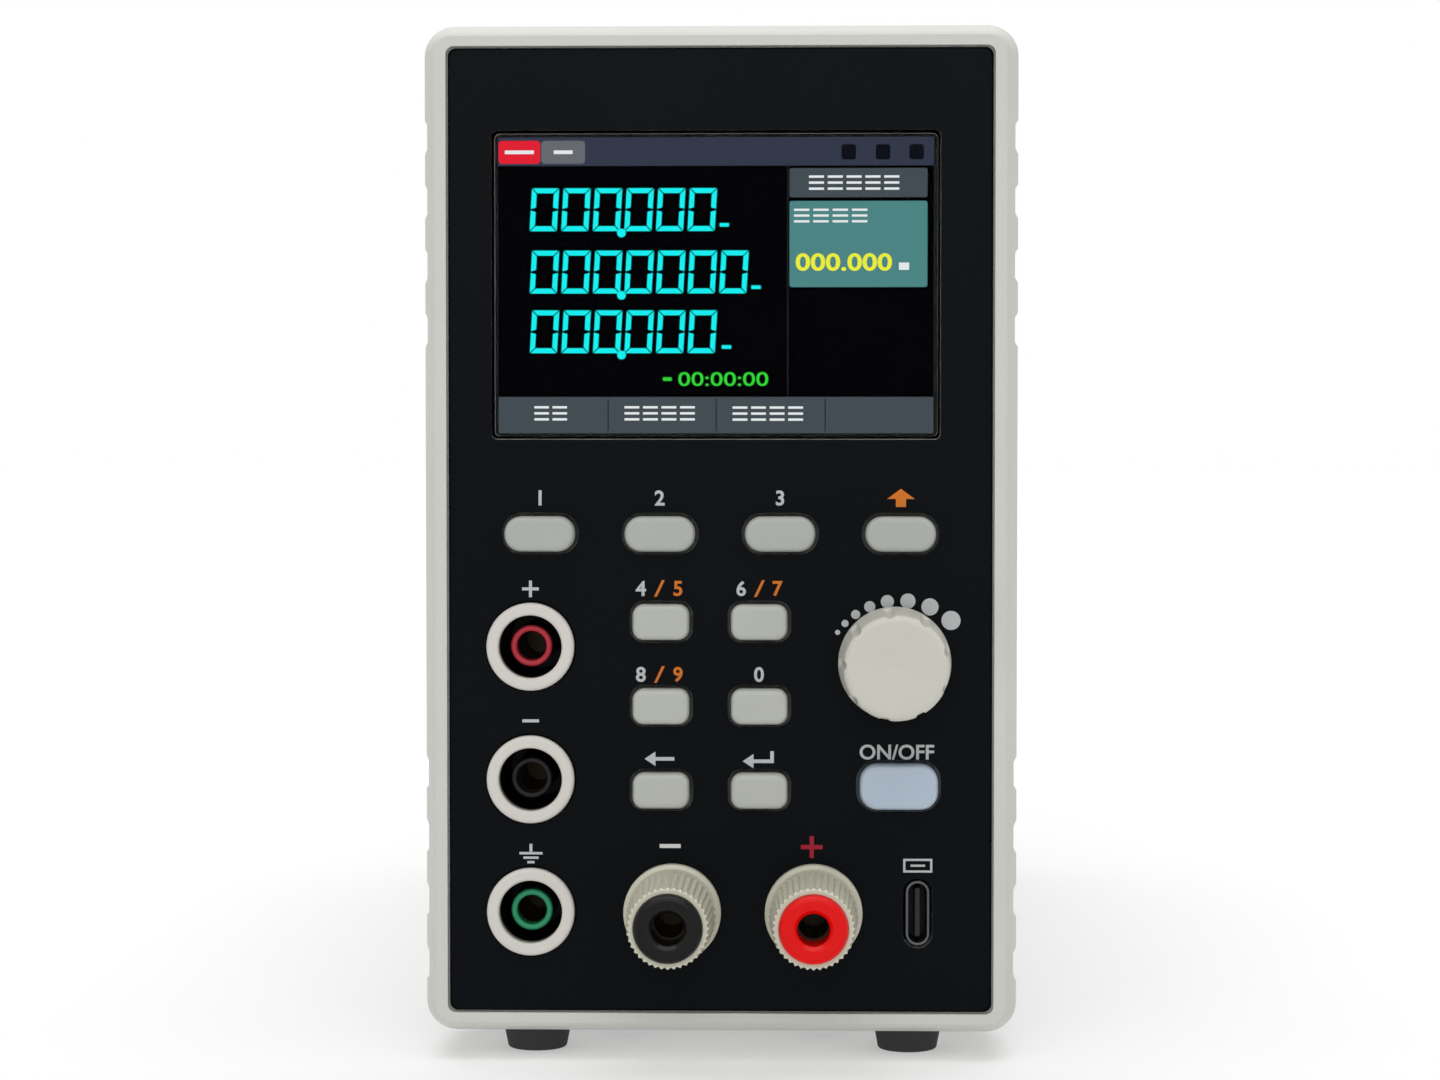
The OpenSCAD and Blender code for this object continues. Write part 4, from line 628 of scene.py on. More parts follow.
@dataclass(frozen=True)
class Patch:
    """A rectangle on the panel between two corners, rounded if it has a radius."""

    x0: float
    z0: float
    x1: float
    z1: float
    r: float = 0.0

    @classmethod
    def about(cls, x: float, z: float, w: float, h: float, r: float = 0.0) -> "Patch":
        """Make a rectangle from its middle and its size."""
        return cls(x - w / 2, z - h / 2, x + w / 2, z + h / 2, r)

    def outline(self, steps: int = 6) -> list[Point]:
        """List the corners, with round ones as short arcs.

        Args:
            steps: Facets of a round corner.

        Returns:
            The outline's points.
        """
        x0, z0, x1, z1, r = self.x0, self.z0, self.x1, self.z1, self.r
        if not r:
            return [(x0, z0), (x1, z0), (x1, z1), (x0, z1)]
        left, right, low, high = x0 + r, x1 - r, z0 + r, z1 - r
        points: list[Point] = []
        for cx, cz, start in ((right, low, -90), (right, high, 0), (left, high, 90), (left, low, 180)):
            for i in range(steps + 1):
                a = math.radians(start + 90 * i / steps)
                points.append((cx + r * math.cos(a), cz + r * math.sin(a)))
        return points


@dataclass(frozen=True)
class Label:
    """Plain numerals or signs centred on a place of the panel."""

    text: str
    x: float
    z: float
    height: float = 2.1
    bold: float = 0.07
    stretch: float = 1.0


@dataclass(frozen=True)
class Writing:
    """A row of small strokes in the place of a line of writing."""

    x: float
    z: float
    w: float
    h: float
    blocks: int
    filled: float = 0.8
    stroke_half: float = 0.07
    stroke_level: float = 0.36

    def strokes(self) -> list[Patch]:
        """Split each block of the row into three strokes, one over the other.

        Returns:
            The strokes of all the blocks.
        """
        pitch, half, level = self.w / self.blocks, self.h * self.stroke_half, self.h * self.stroke_level
        made: list[Patch] = []
        for i in range(self.blocks):
            left = self.x - self.w / 2 + i * pitch
            for z in (self.z - level, self.z, self.z + level):
                made.append(Patch(left, z - half, left + pitch * self.filled, z + half))
        return made


@dataclass
class FlatWork:
    """Thin shapes on one plane of the panel, gathered and made into one mesh."""

    space: PanelSpace
    y: float
    thickness: float = 0.02
    bm: bmesh.types.BMesh = field(default_factory=bmesh.new)

    @property
    def front(self) -> float:
        """Give the depth of the shapes' front faces."""
        return self.y - self.thickness * MM

    def polygon(self, points: list[Point]) -> None:
        """Add a plate with this outline.

        Args:
            points: Corners of the outline in panel millimetres.
        """
        rear = [self.bm.verts.new(self.space.at(x, z, self.y)) for x, z in points]
        face = [self.bm.verts.new(self.space.at(x, z, self.front)) for x, z in points]
        self.bm.faces.new(face)
        self.bm.faces.new(rear[::-1])
        for i, _ in enumerate(points):
            j = (i + 1) % len(points)
            self.bm.faces.new((face[i], face[j], rear[j], rear[i]))

    def add(self, *patches: Patch) -> None:
        """Add plates for rectangles."""
        for patch in patches:
            self.polygon(patch.outline())

    def plus(self, x: float, z: float, w: float, h: float, stroke: float) -> None:
        """Add a plus sign.

        Args:
            x: Middle of the sign.
            z: Height of its middle.
            w: Its width.
            h: Its height.
            stroke: Width of its bars.
        """
        self.add(Patch.about(x, z, w, stroke))
        arm = (h - stroke) / 2
        for side in (-1, 1):
            self.add(Patch.about(x, z + side * (stroke + arm) / 2, stroke, arm))

    def arrow(self, tip: Point, end_x: float, rise: float = 0.0) -> None:
        """Add an arrow that points left, with its tail bent up if it has a rise.

        Args:
            tip: Point of the arrow.
            end_x: Right end of its tail.
            rise: Height of the bent tail's end over the tip.
        """
        head, wing, half = 1.5, 1.0, 0.25
        x, z = tip
        neck = x + head
        tail = [(end_x, z + half), (end_x, z - half)]
        if rise:
            inner = end_x - 2 * half
            tail = [(inner, z + half), (inner, z + rise), (end_x, z + rise), (end_x, z - half)]
        self.polygon([tip, (neck, z + wing), (neck, z + half), *tail, (neck, z - half), (neck, z - wing)])

    def number(self, label: Label) -> None:
        """Add plain numerals or signs as closed plates.

        Args:
            label: The numerals, their place and their size.
        """
        numeral_h = 0.7
        curve = bpy.data.curves.new("numerals", "FONT")
        curve.body, curve.size = label.text, 1.0
        curve.resolution_u = 4
        curve.offset = label.bold * numeral_h / label.height
        carrier = bpy.data.objects.new("numerals", curve)
        bpy.context.scene.collection.objects.link(carrier)
        bpy.context.view_layer.update()
        mesh = bpy.data.meshes.new_from_object(carrier.evaluated_get(bpy.context.evaluated_depsgraph_get()))
        xs, ys = [v.co.x for v in mesh.vertices], [v.co.y for v in mesh.vertices]
        scale = label.height / (max(ys) - min(ys))
        mid_x, mid_y = (max(xs) + min(xs)) / 2, (max(ys) + min(ys)) / 2
        made: list[bmesh.types.BMVert] = []
        for v in mesh.vertices:
            across, up = (v.co.x - mid_x) * scale * label.stretch, (v.co.y - mid_y) * scale
            made.append(self.bm.verts.new(self.space.at(label.x + across, label.z + up, self.front)))
        faces = [self.bm.faces.new([made[i] for i in face.vertices]) for face in mesh.polygons]
        # The faces grow back to the plane, so each numeral is a closed plate
        grown = bmesh.ops.extrude_face_region(self.bm, geom=faces)["geom"]
        for v in (g for g in grown if isinstance(g, bmesh.types.BMVert)):
            v.co.y = self.y
        bpy.data.objects.remove(carrier)
        bpy.data.curves.remove(curve)
        bpy.data.meshes.remove(mesh)

    def finish(self, name: str, look: Look) -> None:
        """Make the gathered shapes one piece of the case."""
        make_piece(name, self.bm, look, Body.CASE)


class GeometryWork(Group):
    """A geometry node tree that makes one piece of the case."""

    def __init__(self, name: str, look: Look, inputs: dict[str, tuple[Socket, object]]) -> None:
        """Start a tree.

        Args:
            name: Name of the tree.
            look: Look of the piece.
            inputs: Socket kind and value by input name.
        """
        every = {"Geometry": (Socket.GEOMETRY, None), **inputs, "Material": (Socket.MATERIAL, None)}
        super().__init__(name, "GeometryNodeTree", every, {"Geometry": Socket.GEOMETRY})
        self.values = {label: value for label, (_, value) in inputs.items()}
        self.values["Material"] = look.material()

    def named(self, *labels: str) -> list[bpy.types.NodeSocket]:
        """Read attributes by name."""
        return [self.node("GeometryNodeInputNamedAttribute", Name=label).outputs[0] for label in labels]

    def position(self) -> bpy.types.Node:
        """Split the position into its parts."""
        return self.node("ShaderNodeSeparateXYZ", Vector=self.node("GeometryNodeInputPosition").outputs[0])

    def end(self, geometry: bpy.types.NodeSocket) -> None:
        """Close the tree with Realize Instances and Set Material.

        Args:
            geometry: What the tree has made.
        """
        real = self.node("GeometryNodeRealizeInstances", Geometry=geometry).outputs[0]
        dressed = self.node("GeometryNodeSetMaterial", Geometry=real, Material=self.given["Material"])
        self.fill(self.out, {"Geometry": dressed.outputs[0]})

    def bake(self, name: str, points: bpy.types.Mesh | None = None) -> None:
        """Run the tree and keep its result as a plain mesh that rides on the case.

        Args:
            name: Name of the piece.
            points: Mesh that the tree starts from, if it needs one.
        """
        carrier = bpy.data.objects.new(name + "_carrier", points or bpy.data.meshes.new(name + "_start"))
        bpy.context.scene.collection.objects.link(carrier)
        modifier = carrier.modifiers.new("work", "NODES")
        modifier.node_group = self.tree
        for label, value in self.values.items():
            modifier[self.ids[label]] = value
        bpy.context.view_layer.update()
        mesh = bpy.data.meshes.new_from_object(carrier.evaluated_get(bpy.context.evaluated_depsgraph_get()))
        mesh.name = name
        carrier.modifiers.remove(modifier)
        bpy.data.objects.remove(carrier)
        settle(name, mesh, Body.CASE)


class SubAssembly:
    """CAD nodes that come off together, and what the scene adds to them."""

    wears: ClassVar[dict[str, Look]] = {}

    def pieces(self) -> None:
        """Make the pieces that only the scene has."""

    def build(self) -> None:
        """Put each node's look in its material slots, then make the scene's own pieces."""
        for node, look in self.wears.items():
            mesh = frame["nodes"][node].data
            material = look.material()
            if not mesh.materials:
                mesh.materials.append(material)
            for i in range(len(mesh.materials)):
                mesh.materials[i] = material
            log.info("%s: node %s wears %s", type(self).__name__, node, look.name)
        self.pieces()


class Frames(SubAssembly):
    """The moulded front and rear frames on their rubber feet."""

    wears = {
        "front_bezel": Finishes.frame,
        "rear_bezel": Finishes.frame,
        "feet": Finishes.rubber,
    }


@dataclass
class Display(SubAssembly):
    """The display module: lit bars, boxes and plain seven-segment numbers behind the window."""

    space: PanelSpace
    lift: float = 0.02
    level_step: float = 0.04
    digit_level: int = 3
    digit_w: float = 3.75
    digit_h: float = 5.9
    digit_t: float = 0.02
    digit_pitch: float = 4.345
    stroke: float = 0.7
    gap: float = 0.1
    slant: float = 0.06
    open_cut: float = 0.3
    first_x: float = -26.25
    rows: tuple[tuple[float, int], ...] = ((41.25, 6), (32.7, 7), (24.5, 6))
    unit_x: tuple[float, ...] = (0.55, 4.9, 0.85)
    unit_rise: float = 0.85
    unit_size: Point = (1.3, 0.5)
    decimal_point: Patch = Patch(-14.2, -0.85, -13.0, 0.35, 0.58)
    ground: Patch = Patch(-30.55, 13.5, 29.25, 54.1)
    top_bar: Patch = Patch(-30.55, 50.2, 29.25, 54.1)
    menu_bar: Patch = Patch(-30.55, 13.5, 29.25, 18.5)
    header: Patch = Patch(9.5, 45.85, 28.4, 49.85, 0.3)
    divider: Patch = Patch(9.18, 18.5, 9.34, 50.2)
    menu_gaps: tuple[float, ...] = (-15.46, -0.58, 14.41)
    menu_gap_w: float = 0.16
    menu_gap_inset: float = 0.3
    state_badge: Patch = Patch(-30.5, 50.5, -24.75, 53.65, 0.5)
    mode_badge: Patch = Patch(-24.6, 50.5, -18.6, 53.65, 0.5)
    setting_box: Patch = Patch(9.5, 33.55, 28.4, 45.35, 0.35)
    dashes: tuple[Patch, ...] = (
        Patch.about(-27.63, 52.08, 4.0, 0.5),
        Patch.about(-21.6, 52.08, 2.6, 0.5),
        Patch.about(25.2, 36.4, 1.4, 1.0),
    )
    writing: tuple[Writing, ...] = (
        Writing(18.6, 47.85, 12.9, 2.3, 5),
        Writing(15.4, 43.35, 10.6, 2.2, 4),
        Writing(-23.12, 16.24, 5.0, 2.3, 2),
        Writing(-8.1, 16.24, 10.2, 2.3, 4),
        Writing(6.78, 16.2, 10.2, 2.3, 4),
    )
    icon_x: tuple[float, ...] = (17.6, 22.3, 26.9)
    icon_z: float = 52.05
    icon_size: Point = (2.0, 2.1)
    icon_r: float = 0.4
    setting: Label = Label("000.000", 16.95, 36.98, 2.45, 0.08, 1.26)
    timer: Label = Label("00:00:00", 0.4, 20.95, 1.95, 0.02, 1.34)
    timer_dash: Patch = Patch.about(-7.3, 20.95, 1.2, 0.5)

    segment_labels = ("length", "turn", "foot", "cut_low", "cut_high")
    wears = {"display_window": ClearSheet(), "lcd_module": Finishes.lcd}

    def depth(self, level: int) -> float:
        """Give the depth of a plane of the picture, each level a little nearer the window."""
        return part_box("lcd_module")[0].y - (self.lift + self.level_step * level) * MM

    def plates(self, name: str, level: int, glow: Glow, *patches: Patch) -> None:
        """Make lit rectangles on one plane of the picture as one piece.

        Args:
            name: Name of the piece.
            level: Plane of the picture.
            glow: Its lit colour.
            patches: The rectangles.
        """
        work = FlatWork(self.space, self.depth(level))
        work.add(*patches)
        work.finish(name, glow)

    def number(self, name: str, glow: Glow, label: Label, *patches: Patch) -> None:
        """Make a small number, with any rectangles beside it, as one piece.

        Args:
            name: Name of the piece.
            glow: Its lit colour.
            label: The number.
            patches: Rectangles of the same colour.
        """
        work = FlatWork(self.space, self.depth(self.digit_level))
        work.number(label)
        work.add(*patches)
        work.finish(name, glow)

    def unit_marks(self) -> list[Patch]:
        """Place a dash for each row's unit and the row's decimal point.

        Returns:
            The marks of all the rows.
        """
        made: list[Patch] = []
        point = self.decimal_point
        for (foot, _), x in zip(self.rows, self.unit_x):
            made.append(Patch.about(x, foot + self.unit_rise, *self.unit_size))
            made.append(replace(point, z0=foot + point.z0, z1=foot + point.z1))
        return made

    def pieces(self) -> None:
        """Make the picture from its dark ground to its large digits."""
        self.plates("display_ground", 0, Glows.black, self.ground)
        self.plates("display_top_bar", 1, Glows.slate, self.top_bar)
        self.plates("display_grey_bars", 1, Glows.grey, self.menu_bar, self.header)
        bar, inset = self.menu_bar, self.menu_gap_inset
        middle, height = (bar.z0 + bar.z1) / 2, bar.z1 - bar.z0 - 2 * inset
        gaps = [Patch.about(x, middle, self.menu_gap_w, height) for x in self.menu_gaps]
        self.plates("display_separators", 2, Glows.dark, self.divider, *gaps)
        self.plates("display_red_badge", 2, Glows.red, self.state_badge)
        self.plates("display_mode_badge", 2, Glows.mid_grey, self.mode_badge)
        self.plates("display_setting_box", 2, Glows.teal, self.setting_box)
        strokes = [stroke for row in self.writing for stroke in row.strokes()]
        self.plates("display_white_marks", 3, Glows.white, *self.dashes, *strokes)
        icons = [Patch.about(x, self.icon_z, *self.icon_size, self.icon_r) for x in self.icon_x]
        self.plates("display_icons", 3, Glows.ink, *icons)
        self.plates("display_cyan_marks", 3, Glows.cyan, *self.unit_marks())
        self.number("display_setting_number", Glows.yellow, self.setting)
        self.number("display_timer_number", Glows.green, self.timer, self.timer_dash)
        self.digits()

    def digits(self) -> None:
        """Make every large digit from one segment, with geometry nodes."""
        work = GeometryWork("segment_digits", Glows.cyan, {
            "Stroke": (Socket.NUMBER, self.stroke * MM),
            "Slant": (Socket.NUMBER, self.slant),
            "Thickness": (Socket.NUMBER, self.digit_t * MM),
        })
        given = work.given
        length, turn, foot, cut_low, cut_high = work.named(*self.segment_labels)
        # A unit bar remembers which of its corners lie at its far end and on its inner side
        spot = work.position()
        marked = work.node("GeometryNodeMeshCube", Size=(1, 1, 1)).outputs["Mesh"]
        for label, axis in (("far", "X"), ("inner", "Z")):
            side = work.maths("GREATER_THAN", spot.outputs[axis], 0.0)
            stored = work.node("GeometryNodeStoreNamedAttribute", Geometry=marked, Name=label, Value=side)
            marked = stored.outputs[0]
        size = work.node("ShaderNodeCombineXYZ", X=length, Y=given["Thickness"], Z=given["Stroke"])
        spin = work.node("ShaderNodeCombineXYZ", Y=turn)
        placed = work.node(
            "GeometryNodeInstanceOnPoints", Points=given["Geometry"], Instance=marked,
            Rotation=spin.outputs[0], Scale=size.outputs[0],
        )
        real = work.node("GeometryNodeRealizeInstances", Geometry=placed.outputs[0])
        # Each end of the inner side draws in to a mitre, then the whole digit leans
        far, inner = work.named("far", "inner")
        near_cut = work.maths("MULTIPLY", cut_low, work.maths("SUBTRACT", 1.0, far))
        draw = work.maths("SUBTRACT", near_cut, work.maths("MULTIPLY", cut_high, far))
        draw = work.maths("MULTIPLY", work.maths("MULTIPLY", draw, inner), given["Stroke"])
        rise = work.maths("MULTIPLY", draw, work.maths("MULTIPLY", work.maths("SINE", turn), -1.0))
        height = work.maths("SUBTRACT", work.maths("ADD", work.position().outputs["Z"], rise), foot)
        lean = work.maths("MULTIPLY", height, given["Slant"])
        sideways = work.maths("ADD", lean, work.maths("MULTIPLY", draw, work.maths("COSINE", turn)))
        shift = work.node("ShaderNodeCombineXYZ", X=sideways, Z=rise)
        leaning = work.node("GeometryNodeSetPosition", Geometry=real.outputs[0], Offset=shift.outputs[0])
        work.end(leaning.outputs[0])
        work.bake("display_digits", self.segment_points())

    def segment_points(self) -> bpy.types.Mesh:
        """Place a point for every lit segment, with its length, turn and mitres.

        Returns:
            A mesh of points that carry the segments' attributes.
        """
        y = self.depth(self.digit_level)
        wide, tall = self.digit_w - self.stroke, (self.digit_h - self.stroke) / 2
        half, quarter = self.digit_h / 2, math.pi / 2
        labels = self.segment_labels
        # A zero: its foot and its head, then two segments on each side
        segments = [
            (wide / 2, 0.0, self.digit_w, 0.0, 1.0, 1.0),
            (wide / 2, 2 * tall, self.digit_w, math.pi, 1.0, 1.0),
        ]
        for side, turn in ((0, quarter), (1, -quarter)):
            for upper in (0, 1):
                mitred = (1.0, self.open_cut) if upper != side else (self.open_cut, 1.0)
                segments.append((side * wide, (upper - 0.5) * half + tall, half, turn, *mitred))
        places: list[Vector] = []
        values: dict[str, list[float]] = {label: [] for label in labels}
        for foot, count in self.rows:
            for i in range(count):
                left, low = self.first_x + i * self.digit_pitch + self.stroke / 2, foot + self.stroke / 2
                for x, z, span, turn, *cuts in segments:
                    places.append(self.space.at(left + x, low + z, y))
                    row = ((span - 2 * self.gap) * MM, turn, self.space.z + foot * MM, *cuts)
                    for label, value in zip(labels, row):
                        values[label].append(value)
        mesh = bpy.data.meshes.new("segment_points")
        mesh.from_pydata(places, [], [])
        for label in labels:
            mesh.attributes.new(label, "FLOAT", "POINT").data.foreach_set("value", values[label])
        return mesh


@dataclass
class FrontPanel(SubAssembly):
    """The black sheet with its print, and the data socket in it."""

    space: PanelSpace
    sunk: float = 0.004
    ink_t: float = 0.016
    key_numbers: tuple[Label, ...] = (
        Label("1", -24.75, 4.62),
        Label("2", -8.3, 4.62),
        Label("3", 8.23, 4.62),
        Label("4", -10.9, -7.82),
        Label("6", 2.9, -7.82),
        Label("8", -10.9, -19.66),
        Label("0", 5.35, -19.65),
        Label("ON/OFF", 24.3, -30.3, bold=0.06),
    )
    shift_numbers: tuple[Label, ...] = (
        Label("5", -5.8, -7.82),
        Label("7", 7.9, -7.82),
        Label("9", -5.8, -19.66),
    )
    slashes: tuple[Point, ...] = ((-8.35, -7.82), (5.4, -7.82), (-8.35, -19.66))
    slash_lean: Point = (0.35, 0.75)
    slash_half: float = 1.15
    shift_arrow: tuple[Point, ...] = (
        (24.8, 5.9), (22.9, 4.5), (24.1, 4.5), (24.1, 3.4), (25.5, 3.4), (25.5, 4.5), (26.7, 4.5),
    )
    back_arrow: Point = (-10.4, -31.3)
    back_end: float = -6.3
    enter_arrow: Point = (3.1, -31.6)
    enter_end: float = 7.4
    enter_rise: float = 1.4
    jack_x: float = -26.1
    sign_w: float = 2.3
    sign_stroke: float = 0.42
    sense_plus_z: float = -7.9
    sense_minus_z: float = -26.1
    earth_stem: Patch = Patch(-26.3, -44.2, -25.9, -43.1)
    earth_bars: tuple[float, ...] = (3.2, 2.1, 1.0)
    earth_z: float = -44.4
    earth_pitch: float = 0.62
    earth_stroke: float = 0.34
    slot: Patch = Patch(25.2, -46.9, 29.2, -45.0)
    slot_tongue: Patch = Patch(26.2, -46.1, 28.2, -45.8)
    slot_stroke: float = 0.3
    post_minus: Patch = Patch.about(-6.88, -43.34, 2.9, 0.55)
    post_plus: Point = (12.62, -43.43)
    post_plus_size: Point = (3.0, 3.02)
    post_plus_stroke: float = 0.58
    dot_count: int = 8
    dot_centre: Point = (0.7, -1.97)
    dot_ring: float = 10.47
    dot_start: float = 144.4
    dot_step: float = -8.76
    dot_step_growth: float = -0.84
    dot_size: float = 0.71
    dot_growth: float = 0.275

    wears = {
        "front_sheet": Finishes.panel,
        "usb_shell": Finishes.data_shell,
        "usb_tongue": Finishes.black,
    }

    def layer(self) -> FlatWork:
        """Start a plane of print on the sheet's face."""
        return FlatWork(self.space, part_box("front_sheet")[0].y + self.sunk * MM, self.ink_t)

    def pieces(self) -> None:
        """Make the legends, the post signs and the scale round the knob."""
        self.grey_marks()
        white = self.layer()
        white.add(self.post_minus)
        white.finish("print_minus", Finishes.ink_white)
        red = self.layer()
        red.plus(*self.post_plus, *self.post_plus_size, self.post_plus_stroke)
        red.finish("print_plus", Finishes.ink_red)
        self.orange_marks()
        self.knob_scale()

    def grey_marks(self) -> None:
        """Make the plain numbers, the arrows and the signs over the jacks and the data socket."""
        grey = self.layer()
        for label in self.key_numbers:
            grey.number(label)
        # A left arrow steps back, and a bent arrow accepts
        grey.arrow(self.back_arrow, self.back_end)
        grey.arrow(self.enter_arrow, self.enter_end, self.enter_rise)
        # Plus and minus over the sense jacks, and the earth sign over the third
        grey.plus(self.jack_x, self.sense_plus_z, self.sign_w, self.sign_w, self.sign_stroke)
        grey.add(Patch.about(self.jack_x, self.sense_minus_z, self.sign_w, self.sign_stroke), self.earth_stem)
        for i, width in enumerate(self.earth_bars):
            grey.add(Patch.about(self.jack_x, self.earth_z - i * self.earth_pitch, width, self.earth_stroke))
        # An outlined slot marks the data socket
        slot, stroke = self.slot, self.slot_stroke
        low, high = slot.z0 + stroke, slot.z1 - stroke
        grey.add(
            Patch(slot.x0, high, slot.x1, slot.z1),
            Patch(slot.x0, slot.z0, slot.x1, low),
            Patch(slot.x0, low, slot.x0 + stroke, high),
            Patch(slot.x1 - stroke, low, slot.x1, high),
            self.slot_tongue,
        )
        grey.finish("print_grey_marks", Finishes.ink)

    def orange_marks(self) -> None:
        """Make the numbers of the keys' second row of meanings, with their slashes and the arrow."""
        orange = self.layer()
        for label in self.shift_numbers:
            orange.number(label)
        near, far = self.slash_lean
        for x, z in self.slashes:
            low, high = z - self.slash_half, z + self.slash_half
            orange.polygon([(x - far, low), (x - near, low), (x + far, high), (x + near, high)])
        orange.polygon(list(self.shift_arrow))
        orange.finish("print_orange_marks", Finishes.ink_orange)

    def knob_scale(self) -> None:
        """Make the growing dots round the knob with geometry nodes."""
        low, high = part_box("knob")
        right, above = self.dot_centre
        centre = (
            (low.x + high.x) / 2 + right * MM,
            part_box("front_sheet")[0].y - self.sunk * MM,
            (low.z + high.z) / 2 + above * MM,
        )
        work = GeometryWork("growing_dots", Finishes.ink, {
            "Count": (Socket.COUNT, self.dot_count),
            "Centre": (Socket.VECTOR, centre),
            "Radius": (Socket.NUMBER, self.dot_ring * MM),
            "Start": (Socket.NUMBER, math.radians(self.dot_start)),
            "Step": (Socket.NUMBER, math.radians(self.dot_step)),
            "Step Growth": (Socket.NUMBER, math.radians(self.dot_step_growth)),
            "First Size": (Socket.NUMBER, self.dot_size * MM),
            "Size Growth": (Socket.NUMBER, self.dot_growth * MM),
            "Thickness": (Socket.NUMBER, self.ink_t * MM),
        })
        given, reach = work.given, work.given["Radius"]
        line = work.node("GeometryNodeMeshLine", Count=given["Count"], Offset=(0, 0, 0))
        i = work.node("GeometryNodeInputIndex").outputs[0]
        pairs = work.maths("MULTIPLY", i, work.maths("SUBTRACT", i, 1.0))
        bend = work.maths("MULTIPLY", pairs, given["Step Growth"])
        angle = work.maths("ADD", work.maths("MULTIPLY", i, given["Step"]), bend)
        angle = work.maths("ADD", given["Start"], angle)
        across = work.maths("MULTIPLY", reach, work.maths("COSINE", angle))
        up = work.maths("MULTIPLY", reach, work.maths("SINE", angle))
        ring = work.node("ShaderNodeCombineXYZ", X=across, Z=up)
        spot = work.vectors("ADD", ring.outputs[0], given["Centre"])
        set_out = work.node("GeometryNodeSetPosition", Geometry=line.outputs[0], Position=spot.outputs[0])
        width = work.maths("ADD", given["First Size"], work.maths("MULTIPLY", i, given["Size Growth"]))
        disc = work.node("GeometryNodeMeshCylinder", Vertices=32, Radius=0.5, Depth=1.0)
        upright = (math.pi / 2, 0, 0)
        facing = work.node("GeometryNodeTransform", Geometry=disc.outputs["Mesh"], Rotation=upright)
        size = work.node("ShaderNodeCombineXYZ", X=width, Y=given["Thickness"], Z=width)
        placed = work.node(
            "GeometryNodeInstanceOnPoints", Points=set_out.outputs[0], Instance=facing.outputs[0],
            Scale=size.outputs[0],
        )
        work.end(placed.outputs[0])
        work.bake("print_knob_scale")


class Keypad(SubAssembly):
    """The eleven keys over their switches, and the board that carries them."""

    long_keys = ("key_f1", "key_f2", "key_f3", "key_shift")
    small_keys = (
        "key_upper_left", "key_upper_right", "key_middle_left", "key_middle_right", "key_escape", "key_enter",
    )

    wears = {
        **dict.fromkeys(small_keys, Finishes.key),
        **dict.fromkeys(long_keys, Finishes.key_long_shaded),
        "key_on_off": Finishes.key_blue,
        "key_switches": Finishes.black,
        "front_board": Finishes.board,
        "board_screws": Finishes.zinc,
    }


class Encoder(SubAssembly):
    """The rotary encoder with its nut, shaft, plunger and knob."""

    wears = {
        "encoder_body": Finishes.zinc,
        "encoder_nut": Finishes.nickel,
        "encoder_plunger": Finishes.plunger,
        "encoder_shaft": Finishes.nickel,
        "knob": Finishes.knob,
    }


class Jacks(SubAssembly):
    """The three safety jacks."""

    wears = {
        "jack_shrouds": Finishes.shroud,
        "jack_sleeve_red": Finishes.red_tube,
        "jack_sleeve_black": Finishes.black_tube,
        "jack_sleeve_green": Finishes.green_tube,
        "jack_contacts": Finishes.socket,
    }


class BindingPosts(SubAssembly):
    """The two binding posts with their caps, collars, studs and leads."""

    wears = {
        "post_bases": Finishes.post,
        "post_studs": Finishes.socket,
        "post_nuts": Finishes.zinc,
        "minus_collar": Finishes.nickel,
        "plus_collar": Finishes.nickel,
        "minus_cap": Finishes.post,
        "plus_cap": Finishes.post,
        "minus_core": Finishes.black_core,
        "plus_core": Finishes.red_core,
        "minus_lead": Finishes.lead_black,
        "plus_lead": Finishes.lead_red,
    }


class Case(SubAssembly):
    """The sheet metal tray, cover and rear panel with their screws."""

    wears = {
        "chassis_tray": Finishes.zinc,
        "top_cover": Finishes.paint,
        "rear_panel": Finishes.paint,
        "case_screws": Finishes.zinc,
    }


class Fan(SubAssembly):
    """The fan behind its guard."""

    wears = {
        "fan_frame": Finishes.black,
        "fan_rotor": Finishes.black,
        "fan_guard": Finishes.nickel,
        "fan_screws": Finishes.zinc,
    }


